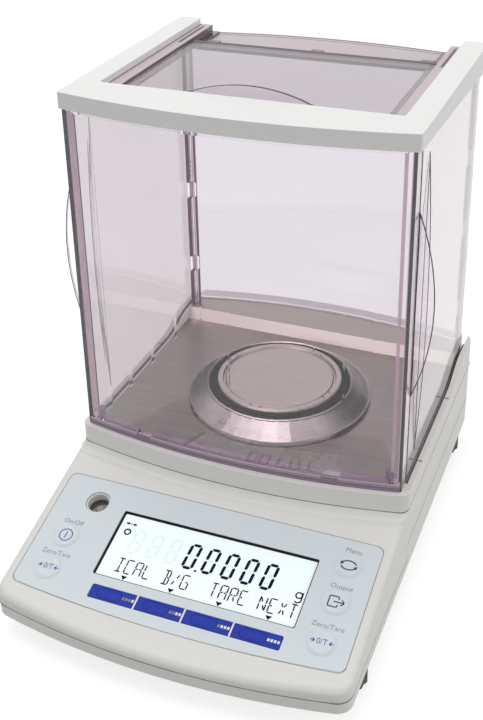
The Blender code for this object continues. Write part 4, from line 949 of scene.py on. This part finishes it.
# Top ledges: a pink tint on them, dark lines along their edges
ledge = {"inner": 0.0743, "block": 0.0792, "outer": 0.08695, "front": -0.0074, "rear": 0.13175,
         "step": deck + 0.20802, "top": deck + 0.21202, "low": deck + 0.2066, "skin": 0.0001, "line": 0.0005,
         "groove": (0.0823, 0.0839, 0.0878, 0.1267)}
inner, shoulder, outer, skin = (ledge[key] for key in ("inner", "block", "outer", "skin"))
run = (ledge["front"], ledge["rear"])
first, second = (ledge["top"] + k * skin for k in (1, 2))
addTint("ledgeTops", "ledgeTone", (0.62, 0.53, 0.56), 0.8,
        mirrored((shoulder, outer, *run, ledge["top"], first)))
addTint("ledgeSides", "ledgeSideTone", (0.26, 0.20, 0.20), 0.8,
        mirrored((inner - skin, inner, *run, ledge["low"], ledge["step"]),
                 (shoulder - skin, shoulder, *run, ledge["step"], ledge["top"])))
addParts("ledgeLines", mirrored((outer - ledge["line"], outer, *run, first, second),
                                (*ledge["groove"], first, second)), lineTone, "dark_plastic")

# Rear flange: its tint, two pale rims along the bowed rear edge, a dark front edge and a band
flange = {"half": 0.0742, "front": 0.09675, "rear": 0.131, "bow": 0.0115, "share": 0.77,
          "top": deck + 0.20615, "low": deck + 0.20405, "band": (0.1004, 0.1044), "rims": (0.0006, 0.0042)}
half, front, top = flange["half"], flange["front"], flange["top"]
across = np.linspace(1, -1, 25)
rearEdge = np.c_[across * half, flange["rear"] + flange["bow"] * (1 - (across * flange["share"]) ** 2)]
addTint("flangeTint", "flangeTone", (0.60, 0.52, 0.535), 0.82,
        [slab(np.concatenate([[(-half, front), (half, front)], rearEdge]), top, top + skin)])
section = rectangle(0.0, 0.0005, top + skin, top + 2 * skin)
addParts("flangeRims", [carried(rearEdge - (0, inset), section) for inset in flange["rims"]], paleLine)
addParts("flangeEdge", [block(-half, half, front - 0.0002, front - 0.0001, flange["low"], top)], lineTone,
         "dark_plastic")
addTint("flangeBand", "bandTone", (0.28, 0.235, 0.25), 0.85,
        [block(-half, half, *flange["band"], top + skin, top + 2 * skin)])

# Rear panel's returns: tinted strips beside the notches, ribs and corner lines, inside and outside
near, far, front, corner = 0.0937, 0.0962, 0.1187, 0.1297
full = (deck + 0.006, deck + 0.204)
stretches = [(deck + low, deck + high) for low, high in (
    (0.006, 0.034), (0.046, 0.091), (0.103, 0.140), (0.152, 0.204))]
addTint("returnStrips", "returnTone", (0.15, 0.035, 0.10), 0.9,
        mirrored(*[(near, far, front - 0.0001, front, *stretch) for stretch in stretches]))
ribs = [(near - 0.0002, near - 0.0001, front + start, front + end, *full)
        for start, end in ((0.0038, 0.0044), (0.0088, 0.0108))]
ribs += [(near - 0.0003, near - 0.0002, front, corner, deck + z, deck + z + 0.0005)
         for z in (0.0625, 0.1078, 0.1110, 0.1142, 0.1174)]
addTint("returnRibs", "ribTone", (0.16, 0.08, 0.13), 0.85, mirrored(*ribs))
cheek = (near - 0.00032, near - 0.00031, front + 0.0046, corner - 0.0006, *full)
addTint("returnTint", "cheekTone", (0.72, 0.50, 0.62), 0.45, mirrored(cheek))
skin, over, ridge = far + 0.00015, far + 0.0002, far + 0.00025
strips = [(skin, over, front, front + 0.0042, *stretch) for stretch in stretches]
strips.append((skin, over, front + 0.0098, corner, *full))
addTint("returnOuterStrips", "outerTone", (0.24, 0.07, 0.14), 0.5, mirrored(*strips))
ribs = [(over, ridge, front + 0.0042, front + 0.0046, *stretch) for stretch in stretches]
ribs += [(over, ridge, front + 0.0046, corner, deck + z, deck + z + 0.0006)
         for z in (0.1655, 0.1690, 0.1725, 0.1760)]
addTint("returnOuterRibs", "outerRibTone", (0.06, 0.02, 0.04), 0.85, mirrored(*ribs))
print("chamber ready")

# Floor of the studio: white, with the balance's shadow on it
floorMesh = bpy.data.meshes.new("studioFloor")
floorMesh.from_pydata([(-4, -4, 0), (4, -4, 0), (4, 4, 0), (-4, 4, 0)], [], [(0, 1, 2, 3)])
floorPaint = plastic("studioFloorPaint", (0.4, 0.4, 0.4), 0.9, 0.01, bump=None, glow=1.0)
tree = floorPaint.node_tree
wire(times(seenRays(tree), studio["floorGlow"]), tree.nodes["Principled BSDF"].inputs["Emission Strength"])
floorMesh.materials.append(floorPaint)
studioFloor = bpy.data.objects.new("studioFloor", floorMesh)
addObject(studioFloor)
print("studio floor ready")
